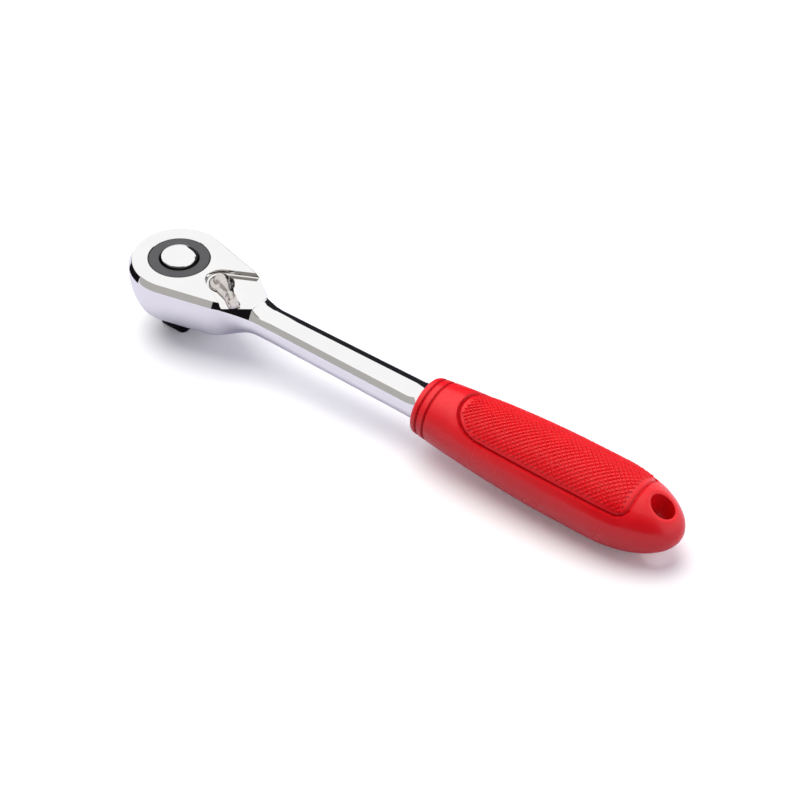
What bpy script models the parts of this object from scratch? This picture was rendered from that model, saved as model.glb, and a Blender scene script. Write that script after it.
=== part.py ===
"""Reversible ratchet handle with a half-inch square drive, a quick-release button and a moulded grip.

Metres, +Z up. The origin is the centre of the drive's tip face. +Z runs up the drive axis to the
release button, and +X runs along the handle to the end of the grip.
"""
import math

import bmesh
import bpy
from mathutils import Vector

# Clearances
RUN = 0.00025             # between pieces that turn or slide on each other
SEAT = 0.0003             # between pieces that rest on each other
MERGE = 0.000001          # points closer than this are one point
TURN_STEPS = 48           # facets of a turned piece
SMALL_STEPS = 16          # facets of a small pin or hole
BOWL_STEPS = 8            # facets down one side of the forging, below its shoulder line

# Head of the forging
DRIVE_LENGTH = 0.0125     # from the tip face up to the shoulder that a socket meets
SHOULDER_PROUD = 0.0005   # the shoulder stands this far below the head
HEAD_DEPTH = 0.0195
HEAD_R = 0.0199           # at the shoulder line, where the head is widest
HEAD_CHAMFER = 0.0015     # inset of the top edge from the shoulder line
HEAD_CHAMFER_DROP = 0.0030
HEAD_BOWL = 0.0034        # inset of the bottom edge from the shoulder line
BOWL_POWER = 2.5          # how late the bowl turns in
HEAD_TAPER = math.radians(14)
ROOF = 0.0050             # thickness of the head above the gear

# Recess for the reversing lever
LEVER_X = 0.0215          # the lever's axis, from the drive axis
RECESS_DEPTH = 0.0022
RECESS_APEX_R = 0.0063
RECESS_WALL_ANGLE = math.radians(28)

# Neck, shaft and tang
AXIS_DROP = 0.0093        # the handle's axis, below the top of the head
NECK_X = 0.0399           # where the recess floor meets the ramp down to the shaft
NECK_HALF = 0.0046        # half-width of the floor there
UNDER_START = 0.0235      # where the underside starts to rise to the shaft, and where it ends
UNDER_END = 0.0450
SHAFT_X = 0.0490          # where the neck has become the round shaft
SHAFT_R_FRONT = 0.0066
SHAFT_R_REAR = 0.0073     # at the grip, before the flare
FLARE_X = 0.1090          # where the shaft starts to flare out to the grip
FLARE = 0.0011
EDGE_TURN = math.radians(45)      # where the head's top edge lies on the round shaft, above its side
SHOULDER_TURN = math.radians(25)  # and its shoulder line
TANG_R = 0.0060
TANG_COLLAR = 0.0024      # the full shaft runs this far into the grip
TANG_LENGTH = 0.0840      # inside the grip

# Grip
GRIP_X = 0.1200
GRIP_LENGTH = 0.1100
GRIP_COLLAR_R = 0.0113
GRIP_R = 0.0157
GRIP_BELLY_X = 0.0660     # from the front of the grip to its thickest place
GRIP_SWELL = 0.62         # how soon it swells: 1 is a plain quarter wave
GRIP_NOSE = 0.0310        # length of the rounded end
GRIP_WIDE = 1.03          # width and height as shares of the round section
GRIP_HIGH = 0.97
GRIP_EDGE = 0.0012        # rounding of the front edge
FIRST_GROOVE = 0.0030     # the collar's grooves, from the front of the grip
SECOND_GROOVE = 0.0064
GROOVE_WIDTH = 0.0010
GROOVE_DEPTH = 0.0005
HANG_HOLE_R = 0.0043
HANG_HOLE_INSET = 0.0090  # from the end of the grip

# Gear, square drive and their retainer
DRIVE_SIZE = 0.0127
DRIVE_CORNER = 0.0009     # rounding of the square's corners
CORNER_STEPS = 3
DRIVE_TIP_CHAMFER = 0.0010
GEAR_TEETH = 72
GEAR_R = 0.0134
TOOTH_DEPTH = 0.0006
GEAR_HEIGHT = 0.0095
BOSS_STEP = 0.0014        # the boss stands this far inside the gear's tips
JOURNAL_R = 0.0095
LEDGE = 0.0012            # the ledge that the cover disc rests on
DISC_THICK = 0.0012
RING_THICK = 0.0012
RING_WIDTH = 0.0018
GROOVE_BITE = 0.0008      # depth of the snap ring's groove
RING_GAP = math.radians(17)   # from the middle of the gap to an end of the ring
LUG_TURN = math.radians(19.5)  # from the middle of the gap to a lug
LUG_ROOT = math.radians(27)   # where the ring inside the lugs begins
LUG_R = 0.0019
LUG_HOLE_R = 0.0009
DRAG_WIRE_R = 0.00045     # the O-ring round the boss

# Release button, ball and spring
BUTTON_R = 0.0071
BUTTON_BORE_R = 0.0079
BUTTON_HEAD = 0.0035
BUTTON_CROWN = 0.0018
BUTTON_RISE = 0.0010      # the rim, above the head
BUTTON_TRAVEL = 0.0025
BALL_R = 0.0022
BALL_PROUD = 0.0007
BALL_RETREAT = 0.0009
BALL_Z = 0.0062
TIP_WALL = 0.0016
WAIST_LENGTH = 0.0012
SPRING_R = 0.0036
SPRING_WIRE = 0.0008
SPRING_TURNS = 6
SPRING_SEAT_RISE = 0.0015  # the spring's seat, above the shoulder

# Reversing lever, pawl and their detent
LEVER_SWING = math.radians(31)
HUB_R = 0.0051
HUB_HEIGHT = 0.0041
DOME_SHARE = 0.75         # of the hub's height that is domed
# The arm: distance from the axis, half-width and height above the base
LEVER_ARM = (
    (0.0000, 0.0036, 0.0037), (0.0044, 0.0030, 0.0033), (0.0062, 0.0024, 0.0028), (0.0080, 0.0020, 0.0024),
    (0.0098, 0.0020, 0.0022), (0.0135, 0.0022, 0.0022), (0.0152, 0.0020, 0.0023), (0.0160, 0.0014, 0.0021),
)
ARM_SIDE = 0.55           # the upright side of the arm, as a share of its height
STEM_R = 0.0035
STEM_FOOT = 0.0020        # length of the stem in its lower bearing
SEAL_WIRE_R = 0.00042
PAWL_THICK = 0.0085
PAWL_ROCK = math.radians(4)
PAWL_HUB_R = 0.0062
PAWL_BACK = 0.0026        # thickness of the arms behind their teeth
PAWL_HUB_TURN = math.radians(80)   # the round back of the hub, each way from the rear
PAWL_BORE_TURN = math.radians(112)  # the round back of the bore, each way from the rear
POCKET_LEAN = math.radians(20)     # the pocket leaves its round back this much early
WINDOW_SHARE = 1.15       # the window reaches this much further round than the plunger swings
PAWL_TEETH = 5            # on each arm
PAWL_FIRST_TOOTH = 4.5    # tooth pitches from the pawl's middle to its first tooth
MESH_GAP = 0.00015
PLUNGER_R = 0.00095
PLUNGER_PROUD = 0.00095
PLUNGER_LENGTH = 0.0029
PLUNGER_FIT = 0.00015
DETENT_WIRE = 0.0004
DETENT_R = 0.00065
DETENT_TURNS = 3.5
DETENT_DEPTH = 0.0023     # the blind end of the plunger's hole, past the stem's axis

# Heights that follow
HEAD_BOTTOM = DRIVE_LENGTH + SHOULDER_PROUD
HEAD_TOP = HEAD_BOTTOM + HEAD_DEPTH
SHOULDER_Z = HEAD_TOP - HEAD_CHAMFER_DROP
AXIS_Z = HEAD_TOP - AXIS_DROP
FLOOR_Z = HEAD_TOP - RECESS_DEPTH
ROOF_Z = HEAD_TOP - ROOF
GEAR_TOP = ROOF_Z - SEAT
GEAR_BOTTOM = GEAR_TOP - GEAR_HEIGHT
DISC_TOP = GEAR_BOTTOM - SEAT
RING_TOP = DISC_TOP - DISC_THICK - SEAT
RING_BOTTOM = RING_TOP - RING_THICK
PAWL_MID = (GEAR_TOP + GEAR_BOTTOM) / 2
PAWL_BOTTOM = PAWL_MID - PAWL_THICK / 2
PAWL_TOP = PAWL_MID + PAWL_THICK / 2
BUTTON_UNDER = HEAD_TOP - BUTTON_HEAD
SPRING_SEAT = DRIVE_LENGTH + SPRING_SEAT_RISE
PIN_BOTTOM = TIP_WALL + SEAT + BUTTON_TRAVEL
LEVER_BASE = FLOOR_Z + SEAT
STEM_BOTTOM = PAWL_BOTTOM - STEM_FOOT
SEAL_Z = (FLOOR_Z + PAWL_TOP) / 2

# Radii and places that follow
BOSS_R = GEAR_R - BOSS_STEP
GEAR_BORE_R = GEAR_R + RUN
DISC_BORE_R = GEAR_BORE_R + LEDGE
RING_GROOVE_R = DISC_BORE_R + GROOVE_BITE
RING_R = RING_GROOVE_R - SEAT
BALL_X = DRIVE_SIZE / 2 + BALL_PROUD - BALL_R
PIN_R = BALL_X - BALL_R - SEAT
SPRING_BORE_R = SPRING_R + SPRING_WIRE / 2 + SEAT
PLUNGER_TIP = STEM_R + PLUNGER_PROUD
TOOTH_PITCH = 2 * math.pi / GEAR_TEETH
TOP_R = HEAD_R - HEAD_CHAMFER
GRIP_END = GRIP_X + GRIP_LENGTH
TANG_END = GRIP_X + TANG_LENGTH
HANG_HOLE_X = GRIP_END - HANG_HOLE_INSET
PAST = 0.004              # how far a cutter runs past what it cuts


def clear_scene():
    """Remove what a new file holds."""
    for item in list(bpy.data.objects):
        bpy.data.objects.remove(item, do_unlink=True)


clear_scene()
PARTS = bpy.data.collections.new("ratchet_handle")
CUTTERS = bpy.data.collections.new("cutters")
bpy.context.scene.collection.children.link(PARTS)
bpy.context.scene.collection.children.link(CUTTERS)


def new_object(name, data, collection):
    """An object for a mesh or curve, in a collection."""
    item = bpy.data.objects.new(name, data)
    collection.objects.link(item)
    if collection is CUTTERS:
        item.hide_render = True
        item.display_type = "WIRE"
    return item


def finish(piece, color, roughness, metallic):
    """Give a piece its own material."""
    material = bpy.data.materials.new(piece.name)
    material.use_nodes = True
    shader = material.node_tree.nodes["Principled BSDF"]
    shader.inputs["Base Color"].default_value = (*color, 1.0)
    shader.inputs["Roughness"].default_value = roughness
    shader.inputs["Metallic"].default_value = metallic
    piece.data.materials.append(material)
    return piece


def arc(center_x, center_y, radius, start, end, steps):
    """Points of a circular arc from one angle to another, both ends included."""
    turn = [start + (end - start) * i / steps for i in range(steps + 1)]
    return [(center_x + radius * math.cos(a), center_y + radius * math.sin(a)) for a in turn]


def turned(name, profile, collection=PARTS, ring=False, steps=TURN_STEPS):
    """A profile of (radius, height) points, turned about Z. A ring's profile closes on itself."""
    points = [(radius, 0.0, height) for radius, height in profile]
    edges = [(i, i + 1) for i in range(len(points) - 1)]
    if ring:
        edges.append((len(points) - 1, 0))
    mesh = bpy.data.meshes.new(name)
    mesh.from_pydata(points, edges, [])
    piece = new_object(name, mesh, collection)
    screw = piece.modifiers.new("Turn", "SCREW")
    screw.steps = steps
    screw.render_steps = steps
    screw.use_merge_vertices = True
    screw.merge_threshold = MERGE
    return piece


def rod(name, radius, bottom, top, steps=SMALL_STEPS):
    """A plain round cutter on the Z axis."""
    return turned(name, [(0, top), (radius, top), (radius, bottom), (0, bottom)], CUTTERS, steps=steps)


def plate(name, outlines, bottom, top, collection=PARTS):
    """A flat plate: the first outline is its rim and the others are holes."""
    curve = bpy.data.curves.new(name + "_outline", "CURVE")
    curve.dimensions = "2D"
    curve.fill_mode = "BOTH"
    curve.extrude = (top - bottom) / 2
    for outline in outlines:
        spline = curve.splines.new("POLY")
        spline.points.add(len(outline) - 1)
        for point, (x, y) in zip(spline.points, outline):
            point.co = (x, y, 0.0, 1.0)
        spline.use_cyclic_u = True
    drawn = new_object(name + "_outline", curve, CUTTERS)
    drawn.location.z = (bottom + top) / 2
    bpy.context.view_layer.update()
    solid = drawn.evaluated_get(bpy.context.evaluated_depsgraph_get())
    mesh = bpy.data.meshes.new_from_object(solid)
    mesh.name = name
    weld(mesh)
    piece = new_object(name, mesh, collection)
    piece.matrix_world = drawn.matrix_world
    bpy.data.objects.remove(drawn, do_unlink=True)
    return piece


def weld(mesh):
    """Join loose edges and turn every face outwards."""
    work = bmesh.new()
    work.from_mesh(mesh)
    bmesh.ops.remove_doubles(work, verts=work.verts, dist=MERGE)
    bmesh.ops.recalc_face_normals(work, faces=work.faces)
    work.to_mesh(mesh)
    work.free()


def loft(name, rings, collection=PARTS):
    """A skin over rings of points that all have the same count, closed at both ends."""
    work = bmesh.new()
    rows = [[work.verts.new(point) for point in ring] for ring in rings]
    count = len(rings[0])
    for near, far in zip(rows, rows[1:]):
        for i in range(count):
            j = (i + 1) % count
            work.faces.new((near[i], near[j], far[j], far[i]))
    work.faces.new(rows[0])
    work.faces.new(rows[-1])
    mesh = bpy.data.meshes.new(name)
    bmesh.ops.remove_doubles(work, verts=work.verts, dist=MERGE)
    bmesh.ops.dissolve_degenerate(work, edges=work.edges, dist=MERGE)
    bmesh.ops.recalc_face_normals(work, faces=work.faces)
    work.to_mesh(mesh)
    work.free()
    return new_object(name, mesh, collection)


def coil(name, radius, wire, turns, bottom, top):
    """A round-wire spring on the Z axis, from one end of its wire to the other."""
    per_turn = 10
    count = int(round(turns * per_turn))
    rise = top - bottom - wire
    points = []
    for i in range(count + 1):
        angle = 2 * math.pi * i / per_turn
        height = bottom + wire / 2 + rise * i / count
        points.append(Vector((radius * math.cos(angle), radius * math.sin(angle), height)))
    curve = bpy.data.curves.new(name, "CURVE")
    curve.dimensions = "3D"
    curve.bevel_depth = wire / 2
    curve.bevel_resolution = 1
    curve.use_fill_caps = True
    spline = curve.splines.new("POLY")
    spline.points.add(count)
    for place, point in zip(spline.points, points):
        place.co = (*point, 1.0)
    apart = per_turn // 2
    gap = min((a - b).length for i, a in enumerate(points) for b in points[i + apart:]) - wire
    print(f"{name}: least gap to itself {gap * 1000:.2f} mm")
    return new_object(name, curve, PARTS)


def boolean(piece, other, operation):
    """Cut a piece by another, or join another to it."""
    change = piece.modifiers.new(other.name, "BOOLEAN")
    change.operation = operation
    change.object = other
    change.solver = "EXACT"


def cut(piece, *others):
    for other in others:
        boolean(piece, other, "DIFFERENCE")


def join(piece, *others):
    for other in others:
        boolean(piece, other, "UNION")


def pivot(name, x, angle):
    """An empty on a vertical joint axis."""
    empty = bpy.data.objects.new(name, None)
    PARTS.objects.link(empty)
    empty.location.x = x
    empty.rotation_euler.z = angle
    return empty


def smooth(t):
    """0 to 1 with level ends."""
    t = min(max(t, 0.0), 1.0)
    return t * t * (3 - 2 * t)


def ramp(x, start, end, low, high):
    """A value that changes steadily from low at start to high at end."""
    return low + (high - low) * min(max((x - start) / (end - start), 0.0), 1.0)


def taper_half(radius, x):
    """Half-width of the head's tapered flank, tangent to a circle round the drive axis."""
    return (radius - x * math.sin(HEAD_TAPER)) / math.cos(HEAD_TAPER)


def recess_half(x):
    """Half-width of the lever recess between its straight walls."""
    along = (x - LEVER_X) * math.sin(RECESS_WALL_ANGLE)
    return (RECESS_APEX_R + along) / math.cos(RECESS_WALL_ANGLE)


# The recess walls run out through the head's top edge here
WALL_END_X = (
    (TOP_R / math.cos(HEAD_TAPER) - recess_half(0.0))
    / (math.tan(RECESS_WALL_ANGLE) + math.tan(HEAD_TAPER))
)
FLOOR_TRIM = 0.0003       # the forging stands this far above the recess floor before it is milled


def shaft_radius(x):
    """Radius of the round shaft, which swells a little and then flares out to the grip."""
    flare = max(0.0, x - FLARE_X) / (GRIP_X - FLARE_X)
    return ramp(x, SHAFT_X, GRIP_X, SHAFT_R_FRONT, SHAFT_R_REAR) + FLARE * flare ** 2


def round_flank(radius):
    """Points (half-width, height) down one side of a round section, in the order of the head's."""
    angles = [math.pi / 2, (math.pi / 2 + EDGE_TURN) / 2, EDGE_TURN, SHOULDER_TURN]
    angles += spread(SHOULDER_TURN, -math.pi / 2, BOWL_STEPS)
    return [(radius * math.cos(a), AXIS_Z + radius * math.sin(a)) for a in angles]


def level_top(edge, height):
    """Three points of a level top: its middle, half-way out and its edge."""
    return [(0.0, height), (edge / 2, height), (edge, height)]


def bowl_flank(edge, wide, foot):
    """Points (half-width, height) down one side of the head: its top, a chamfer, then a bowl."""
    points = level_top(edge, HEAD_TOP) + [(wide, SHOULDER_Z)]
    for share in spread(0.0, 1.0, BOWL_STEPS):
        height = SHOULDER_Z - (SHOULDER_Z - HEAD_BOTTOM) * share
        points.append((wide - (wide - foot) * share ** BOWL_POWER, height))
    return points


def handle_flank(x):
    """Points down one side of the forging behind the drive axis, at one place along the handle."""
    head = bowl_flank(taper_half(TOP_R, x), taper_half(HEAD_R, x), taper_half(HEAD_R - HEAD_BOWL, x))
    shaft = round_flank(shaft_radius(x))
    points = blended(head, shaft, smooth((x - UNDER_START) / (UNDER_END - UNDER_START)))
    points[:4] = head[:4]
    if x >= SHAFT_X:
        points[:4] = shaft[:4]
    elif x > NECK_X:
        neck = neck_top(NECK_X, FLOOR_Z)
        points[:4] = blended(neck, shaft[:4], smooth((x - NECK_X) / (SHAFT_X - NECK_X)))
    elif x > WALL_END_X:
        points[:4] = neck_top(x, FLOOR_Z + FLOOR_TRIM)
    return points


def neck_top(x, height):
    """The recess floor, as high as the forging stands before milling, and the facet beside it."""
    lean = (taper_half(HEAD_R, 0.0) - taper_half(TOP_R, 0.0)) / HEAD_CHAMFER_DROP
    widest = taper_half(TOP_R, WALL_END_X) + lean * RECESS_DEPTH
    edge = ramp(x, WALL_END_X, NECK_X, widest, NECK_HALF)
    low = AXIS_Z + SHAFT_R_FRONT * math.sin(SHOULDER_TURN)
    shoulder = ramp(x, WALL_END_X, NECK_X, SHOULDER_Z, low)
    return level_top(edge - lean * (height - FLOOR_Z), height) + [(edge + lean * (FLOOR_Z - shoulder), shoulder)]


def ring_at(x, half):
    """A closed ring across the handle at one place along it."""
    return [(x, y, z) for y, z in half] + [(x, -y, z) for y, z in reversed(half)]


def head_ring(angle):
    """A ring through the round front of the head, turned about the drive axis."""
    flank = bowl_flank(TOP_R, HEAD_R, HEAD_R - HEAD_BOWL)
    half = [(r * math.cos(angle), r * math.sin(angle), z) for r, z in flank]
    return half + [(x, -y, z) for x, y, z in reversed(half)]


def blended(first, second, share):
    """Points part of the way from one flank to another."""
    return [(a + (c - a) * share, b + (d - b) * share) for (a, b), (c, d) in zip(first, second)]


def spread(start, end, count):
    """Evenly spaced places after start, up to end."""
    return [start + (end - start) * i / count for i in range(1, count + 1)]


def build_forging():
    """Head, neck, shaft and tang in one forging, bored for the mechanism."""
    tangent = math.pi / 2 - HEAD_TAPER
    rings = [head_ring(math.pi)] + [head_ring(angle) for angle in spread(math.pi, tangent, 16)]
    floor_start = WALL_END_X + FLOOR_TRIM
    stations = spread(HEAD_R * math.cos(tangent), WALL_END_X, 6) + [floor_start]
    stations += spread(floor_start, NECK_X, 5) + spread(NECK_X, SHAFT_X, 7)
    stations += spread(SHAFT_X, FLARE_X, 2) + spread(FLARE_X, GRIP_X, 5)
    rings += [ring_at(x, handle_flank(x)) for x in stations]
    for x, radius in tang_outline(0.0):
        rings.append(ring_at(x, round_flank(radius)))
    forging = loft("body_forging", rings)
    cut(forging, gear_cavity(), pawl_pocket(), lever_recess(), stem_hole())
    return finish(forging, (0.83, 0.83, 0.85), 0.08, 1.0)


def tang_outline(gap):
    """Places and radii of the shaft's end and the tang inside the grip, grown by a gap."""
    collar_end = GRIP_X + TANG_COLLAR + gap
    collar_r = shaft_radius(GRIP_X) + gap
    return [
        (collar_end, collar_r), (collar_end + collar_r - TANG_R - gap, TANG_R + gap),
        (TANG_END - TANG_R / 4 + gap, TANG_R + gap), (TANG_END + gap, TANG_R * 3 / 4 + gap),
    ]


def gear_cavity():
    """The stepped bore under the head, with the snap ring's groove."""
    return turned("gear_cavity", [
        (0, HEAD_TOP + PAST), (BOSS_R + RUN, HEAD_TOP + PAST), (BOSS_R + RUN, ROOF_Z),
        (GEAR_BORE_R, ROOF_Z), (GEAR_BORE_R, GEAR_BOTTOM), (DISC_BORE_R, GEAR_BOTTOM),
        (DISC_BORE_R, RING_TOP + SEAT), (RING_GROOVE_R, RING_TOP + SEAT),
        (RING_GROOVE_R, RING_BOTTOM - SEAT), (DISC_BORE_R, RING_BOTTOM - SEAT),
        (DISC_BORE_R, HEAD_BOTTOM - PAST), (0, HEAD_BOTTOM - PAST),
    ], CUTTERS)


def pawl_reach():
    """How far the pawl's arms stand out sideways when the pawl is rocked."""
    last = (PAWL_FIRST_TOOTH + PAWL_TEETH) * TOOTH_PITCH
    corner = GEAR_R + MESH_GAP + PAWL_BACK
    x = corner * math.cos(last) - LEVER_X
    y = corner * math.sin(last)
    return y + abs(x) * math.sin(2 * PAWL_ROCK)


def pawl_pocket():
    """The undercut behind the gear in which the pawl rocks."""
    half = pawl_reach() + SEAT
    back = PAWL_HUB_R + 2 * SEAT
    lean = math.atan2(half - back, LEVER_X - GEAR_R) / 2 + POCKET_LEAN
    rear = arc(LEVER_X, 0, back, -math.pi / 2 + lean, math.pi / 2 - lean, 12)
    corner = GEAR_R + PAWL_BACK / 2
    outline = [(0, -half), (corner, -half)] + rear + [(corner, half), (0, half)]
    return plate("pawl_pocket", [outline], PAWL_BOTTOM - SEAT, PAWL_TOP + SEAT, CUTTERS)


def lever_recess():
    """The fan-shaped recess that the lever swings in, open at the neck."""
    turn = math.pi / 2 + RECESS_WALL_ANGLE
    apex = arc(LEVER_X, 0, RECESS_APEX_R, turn, 2 * math.pi - turn, 16)
    far = NECK_X + PAST
    outline = apex + [(far, -recess_half(far)), (far, recess_half(far))]
    return plate("lever_recess", [outline], FLOOR_Z, HEAD_TOP + PAST, CUTTERS)


def stem_hole():
    """The lever's bearing, through the roof and into the pocket's floor."""
    hole = rod("stem_hole", STEM_R + RUN, STEM_BOTTOM - SEAT, HEAD_TOP, TURN_STEPS)
    hole.location.x = LEVER_X
    return hole


def grip_radius(x):
    """Radius of the grip's round section, x from its front face."""
    belly = GRIP_LENGTH - GRIP_NOSE
    if x > belly:
        return GRIP_R * math.sqrt(max(0.0, 1 - ((x - belly) / GRIP_NOSE) ** 2))
    if x < SECOND_GROOVE:
        return GRIP_COLLAR_R
    share = min((x - SECOND_GROOVE) / (GRIP_BELLY_X - SECOND_GROOVE), 1.0)
    return GRIP_COLLAR_R + (GRIP_R - GRIP_COLLAR_R) * math.sin(math.pi / 2 * share) ** GRIP_SWELL


def grip_ring(x, radius):
    """An oval ring of the grip, x from its front face."""
    sides = 32
    points = []
    for i in range(sides):
        angle = 2 * math.pi * i / sides
        y = radius * GRIP_WIDE * math.cos(angle)
        points.append((GRIP_X + x, y, AXIS_Z + radius * GRIP_HIGH * math.sin(angle)))
    return points


def build_grip():
    """The moulded grip, open at the front for the tang, with a hole to hang it by."""
    edge_steps = 3
    stations = []
    for i in range(edge_steps + 1):
        turn = math.pi / 2 * i / edge_steps
        inset = GRIP_EDGE * (1 - math.sin(turn))
        stations.append((GRIP_EDGE * (1 - math.cos(turn)), GRIP_COLLAR_R - inset))
    for groove in (FIRST_GROOVE, SECOND_GROOVE):
        near = groove - GROOVE_WIDTH / 2
        far = groove + GROOVE_WIDTH / 2
        stations.append((near, grip_radius(near)))
        stations.append((groove, grip_radius(groove) - GROOVE_DEPTH))
        stations.append((far, grip_radius(far)))
    swell = SECOND_GROOVE + GROOVE_WIDTH
    belly = GRIP_LENGTH - GRIP_NOSE
    swell_steps = 10
    for i in range(1, swell_steps + 1):
        x = swell + (belly - swell) * i / swell_steps
        stations.append((x, grip_radius(x)))
    nose_steps = 8
    for i in range(1, nose_steps + 1):
        x = belly + GRIP_NOSE * math.sin(math.pi / 2 * i / (nose_steps + 0.5))
        stations.append((x, grip_radius(x)))
    tip = grip_ring(GRIP_LENGTH, GRIP_R / 12)
    grip = loft("grip", [grip_ring(x, radius) for x, radius in stations] + [tip])
    hang_hole = rod("hang_hole", HANG_HOLE_R, AXIS_Z - GRIP_R - PAST, AXIS_Z + GRIP_R + PAST, 24)
    hang_hole.location.x = HANG_HOLE_X
    cut(grip, tang_bore(), hang_hole)
    return finish(grip, (0.78, 0.01, 0.015), 0.42, 0.0)


def tang_bore():
    """The space in the grip for the shaft's round end and the tang."""
    profile = [(0, TANG_END + SEAT)] + [(radius, x) for x, radius in reversed(tang_outline(SEAT))]
    profile += [(shaft_radius(GRIP_X) + SEAT, GRIP_X - PAST), (0, GRIP_X - PAST)]
    bore = turned("tang_bore", profile, CUTTERS)
    bore.rotation_euler.y = math.pi / 2
    bore.location.z = AXIS_Z
    return bore


def build_drive():
    """Gear, boss and square drive in one piece, bored for the release button."""
    groove = 2 * DRAG_WIRE_R + 2 * SEAT
    groove_mid = (HEAD_TOP + ROOF_Z) / 2
    groove_r = BOSS_R + RUN - 2 * DRAG_WIRE_R - SEAT
    core_r = GEAR_R - 2 * TOOTH_DEPTH
    drive = turned("drive_gear", [
        (0, HEAD_TOP), (BOSS_R, HEAD_TOP), (BOSS_R, groove_mid + groove / 2),
        (groove_r, groove_mid + groove / 2), (groove_r, groove_mid - groove / 2),
        (BOSS_R, groove_mid - groove / 2), (BOSS_R, GEAR_TOP - SEAT), (core_r, GEAR_TOP - SEAT),
        (core_r, GEAR_BOTTOM + SEAT), (JOURNAL_R, GEAR_BOTTOM + SEAT), (JOURNAL_R, DRIVE_LENGTH),
        (0, DRIVE_LENGTH),
    ])
    rim = []
    for tooth in range(GEAR_TEETH):
        tip = tooth * TOOTH_PITCH
        rim.append((GEAR_R * math.cos(tip), GEAR_R * math.sin(tip)))
        root = tip + TOOTH_PITCH / 2
        root_r = GEAR_R - TOOTH_DEPTH
        rim.append((root_r * math.cos(root), root_r * math.sin(root)))
    hub = arc(0, 0, JOURNAL_R - SEAT, 0, 2 * math.pi, 36)[:-1]
    teeth = plate("gear_teeth", [rim, hub], GEAR_BOTTOM, GEAR_TOP, CUTTERS)
    join(drive, teeth, square_drive())
    cut(drive, button_bore(), ball_hole())
    return finish(drive, (0.09, 0.085, 0.08), 0.4, 1.0)


def square_drive():
    """The square shank, with rounded corners and a chamfered tip."""
    half = DRIVE_SIZE / 2
    rings = []
    sink = DRIVE_LENGTH + JOURNAL_R / 4
    for height, inset in ((0.0, DRIVE_TIP_CHAMFER), (DRIVE_TIP_CHAMFER, 0.0), (sink, 0.0)):
        side = half - inset
        lip = side - DRIVE_CORNER
        ring = []
        for turn in range(4):
            c = round(math.cos(turn * math.pi / 2))
            s = round(math.sin(turn * math.pi / 2))
            for x, y in arc(lip, lip, DRIVE_CORNER, 0, math.pi / 2, CORNER_STEPS):
                ring.append((x * c - y * s, x * s + y * c, height))
        rings.append(ring)
    return loft("square_drive", rings, CUTTERS)


def button_bore():
    """The stepped blind bore for the button, its spring and its pin."""
    pin_bore_r = PIN_R + SEAT
    under = BUTTON_UNDER - BUTTON_TRAVEL - SEAT
    return turned("button_bore", [
        (0, HEAD_TOP + PAST), (BUTTON_BORE_R, HEAD_TOP + PAST), (BUTTON_BORE_R, under),
        (SPRING_BORE_R, under), (SPRING_BORE_R, SPRING_SEAT), (pin_bore_r, SPRING_SEAT),
        (pin_bore_r, TIP_WALL), (0, TIP_WALL),
    ], CUTTERS)


def ball_hole():
    """The cross hole that the ball slides in, towards -X."""
    hole = rod("ball_hole", BALL_R + MESH_GAP, -DRIVE_SIZE, 0.0)
    hole.rotation_euler.y = math.pi / 2
    hole.location.z = BALL_Z
    return hole


def build_button():
    """Domed button on a pin, whose waist lets the ball in when the button is pressed."""
    dome_steps = 6
    dome_r = (BUTTON_R ** 2 + BUTTON_CROWN ** 2) / (2 * BUTTON_CROWN)
    reach = math.asin(BUTTON_R / dome_r)
    top = HEAD_TOP + BUTTON_RISE + BUTTON_CROWN
    profile = []
    for i in range(dome_steps + 1):
        angle = reach * i / dome_steps
        profile.append((dome_r * math.sin(angle), top - dome_r * (1 - math.cos(angle))))
    waist_r = PIN_R - BALL_RETREAT
    cone_start = BALL_Z + SEAT
    cone_end = cone_start + BUTTON_TRAVEL
    waist_end = cone_end + WAIST_LENGTH
    profile += [
        (BUTTON_R, BUTTON_UNDER), (PIN_R, BUTTON_UNDER), (PIN_R, waist_end + BALL_RETREAT),
        (waist_r, waist_end), (waist_r, cone_end), (PIN_R, cone_start),
        (PIN_R, PIN_BOTTOM), (0, PIN_BOTTOM),
    ]
    return finish(turned("release_button", profile), (0.85, 0.85, 0.86), 0.1, 1.0)


def build_button_spring():
    """The spring that lifts the button."""
    bottom = SPRING_SEAT + SEAT
    spring = coil("button_spring", SPRING_R, SPRING_WIRE, SPRING_TURNS, bottom, BUTTON_UNDER - SEAT)
    return finish(spring, (0.5, 0.5, 0.52), 0.3, 1.0)


def build_ball():
    """The ball that holds a socket on the square."""
    work = bmesh.new()
    bmesh.ops.create_uvsphere(work, u_segments=12, v_segments=8, radius=BALL_R)
    mesh = bpy.data.meshes.new("detent_ball")
    work.to_mesh(mesh)
    work.free()
    ball = new_object("detent_ball", mesh, PARTS)
    ball.location = (-BALL_X, 0, BALL_Z)
    return finish(ball, (0.7, 0.7, 0.72), 0.15, 1.0)


def washer(name, outer, inner, bottom, top):
    """A flat ring."""
    return turned(name, [(outer, top), (outer, bottom), (inner, bottom), (inner, top)], ring=True)


def build_cover_disc():
    """The disc that closes the gear's bore from below."""
    disc = washer("cover_disc", DISC_BORE_R - RUN, JOURNAL_R + RUN, DISC_TOP - DISC_THICK, DISC_TOP)
    return finish(disc, (0.12, 0.12, 0.125), 0.45, 1.0)


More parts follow.
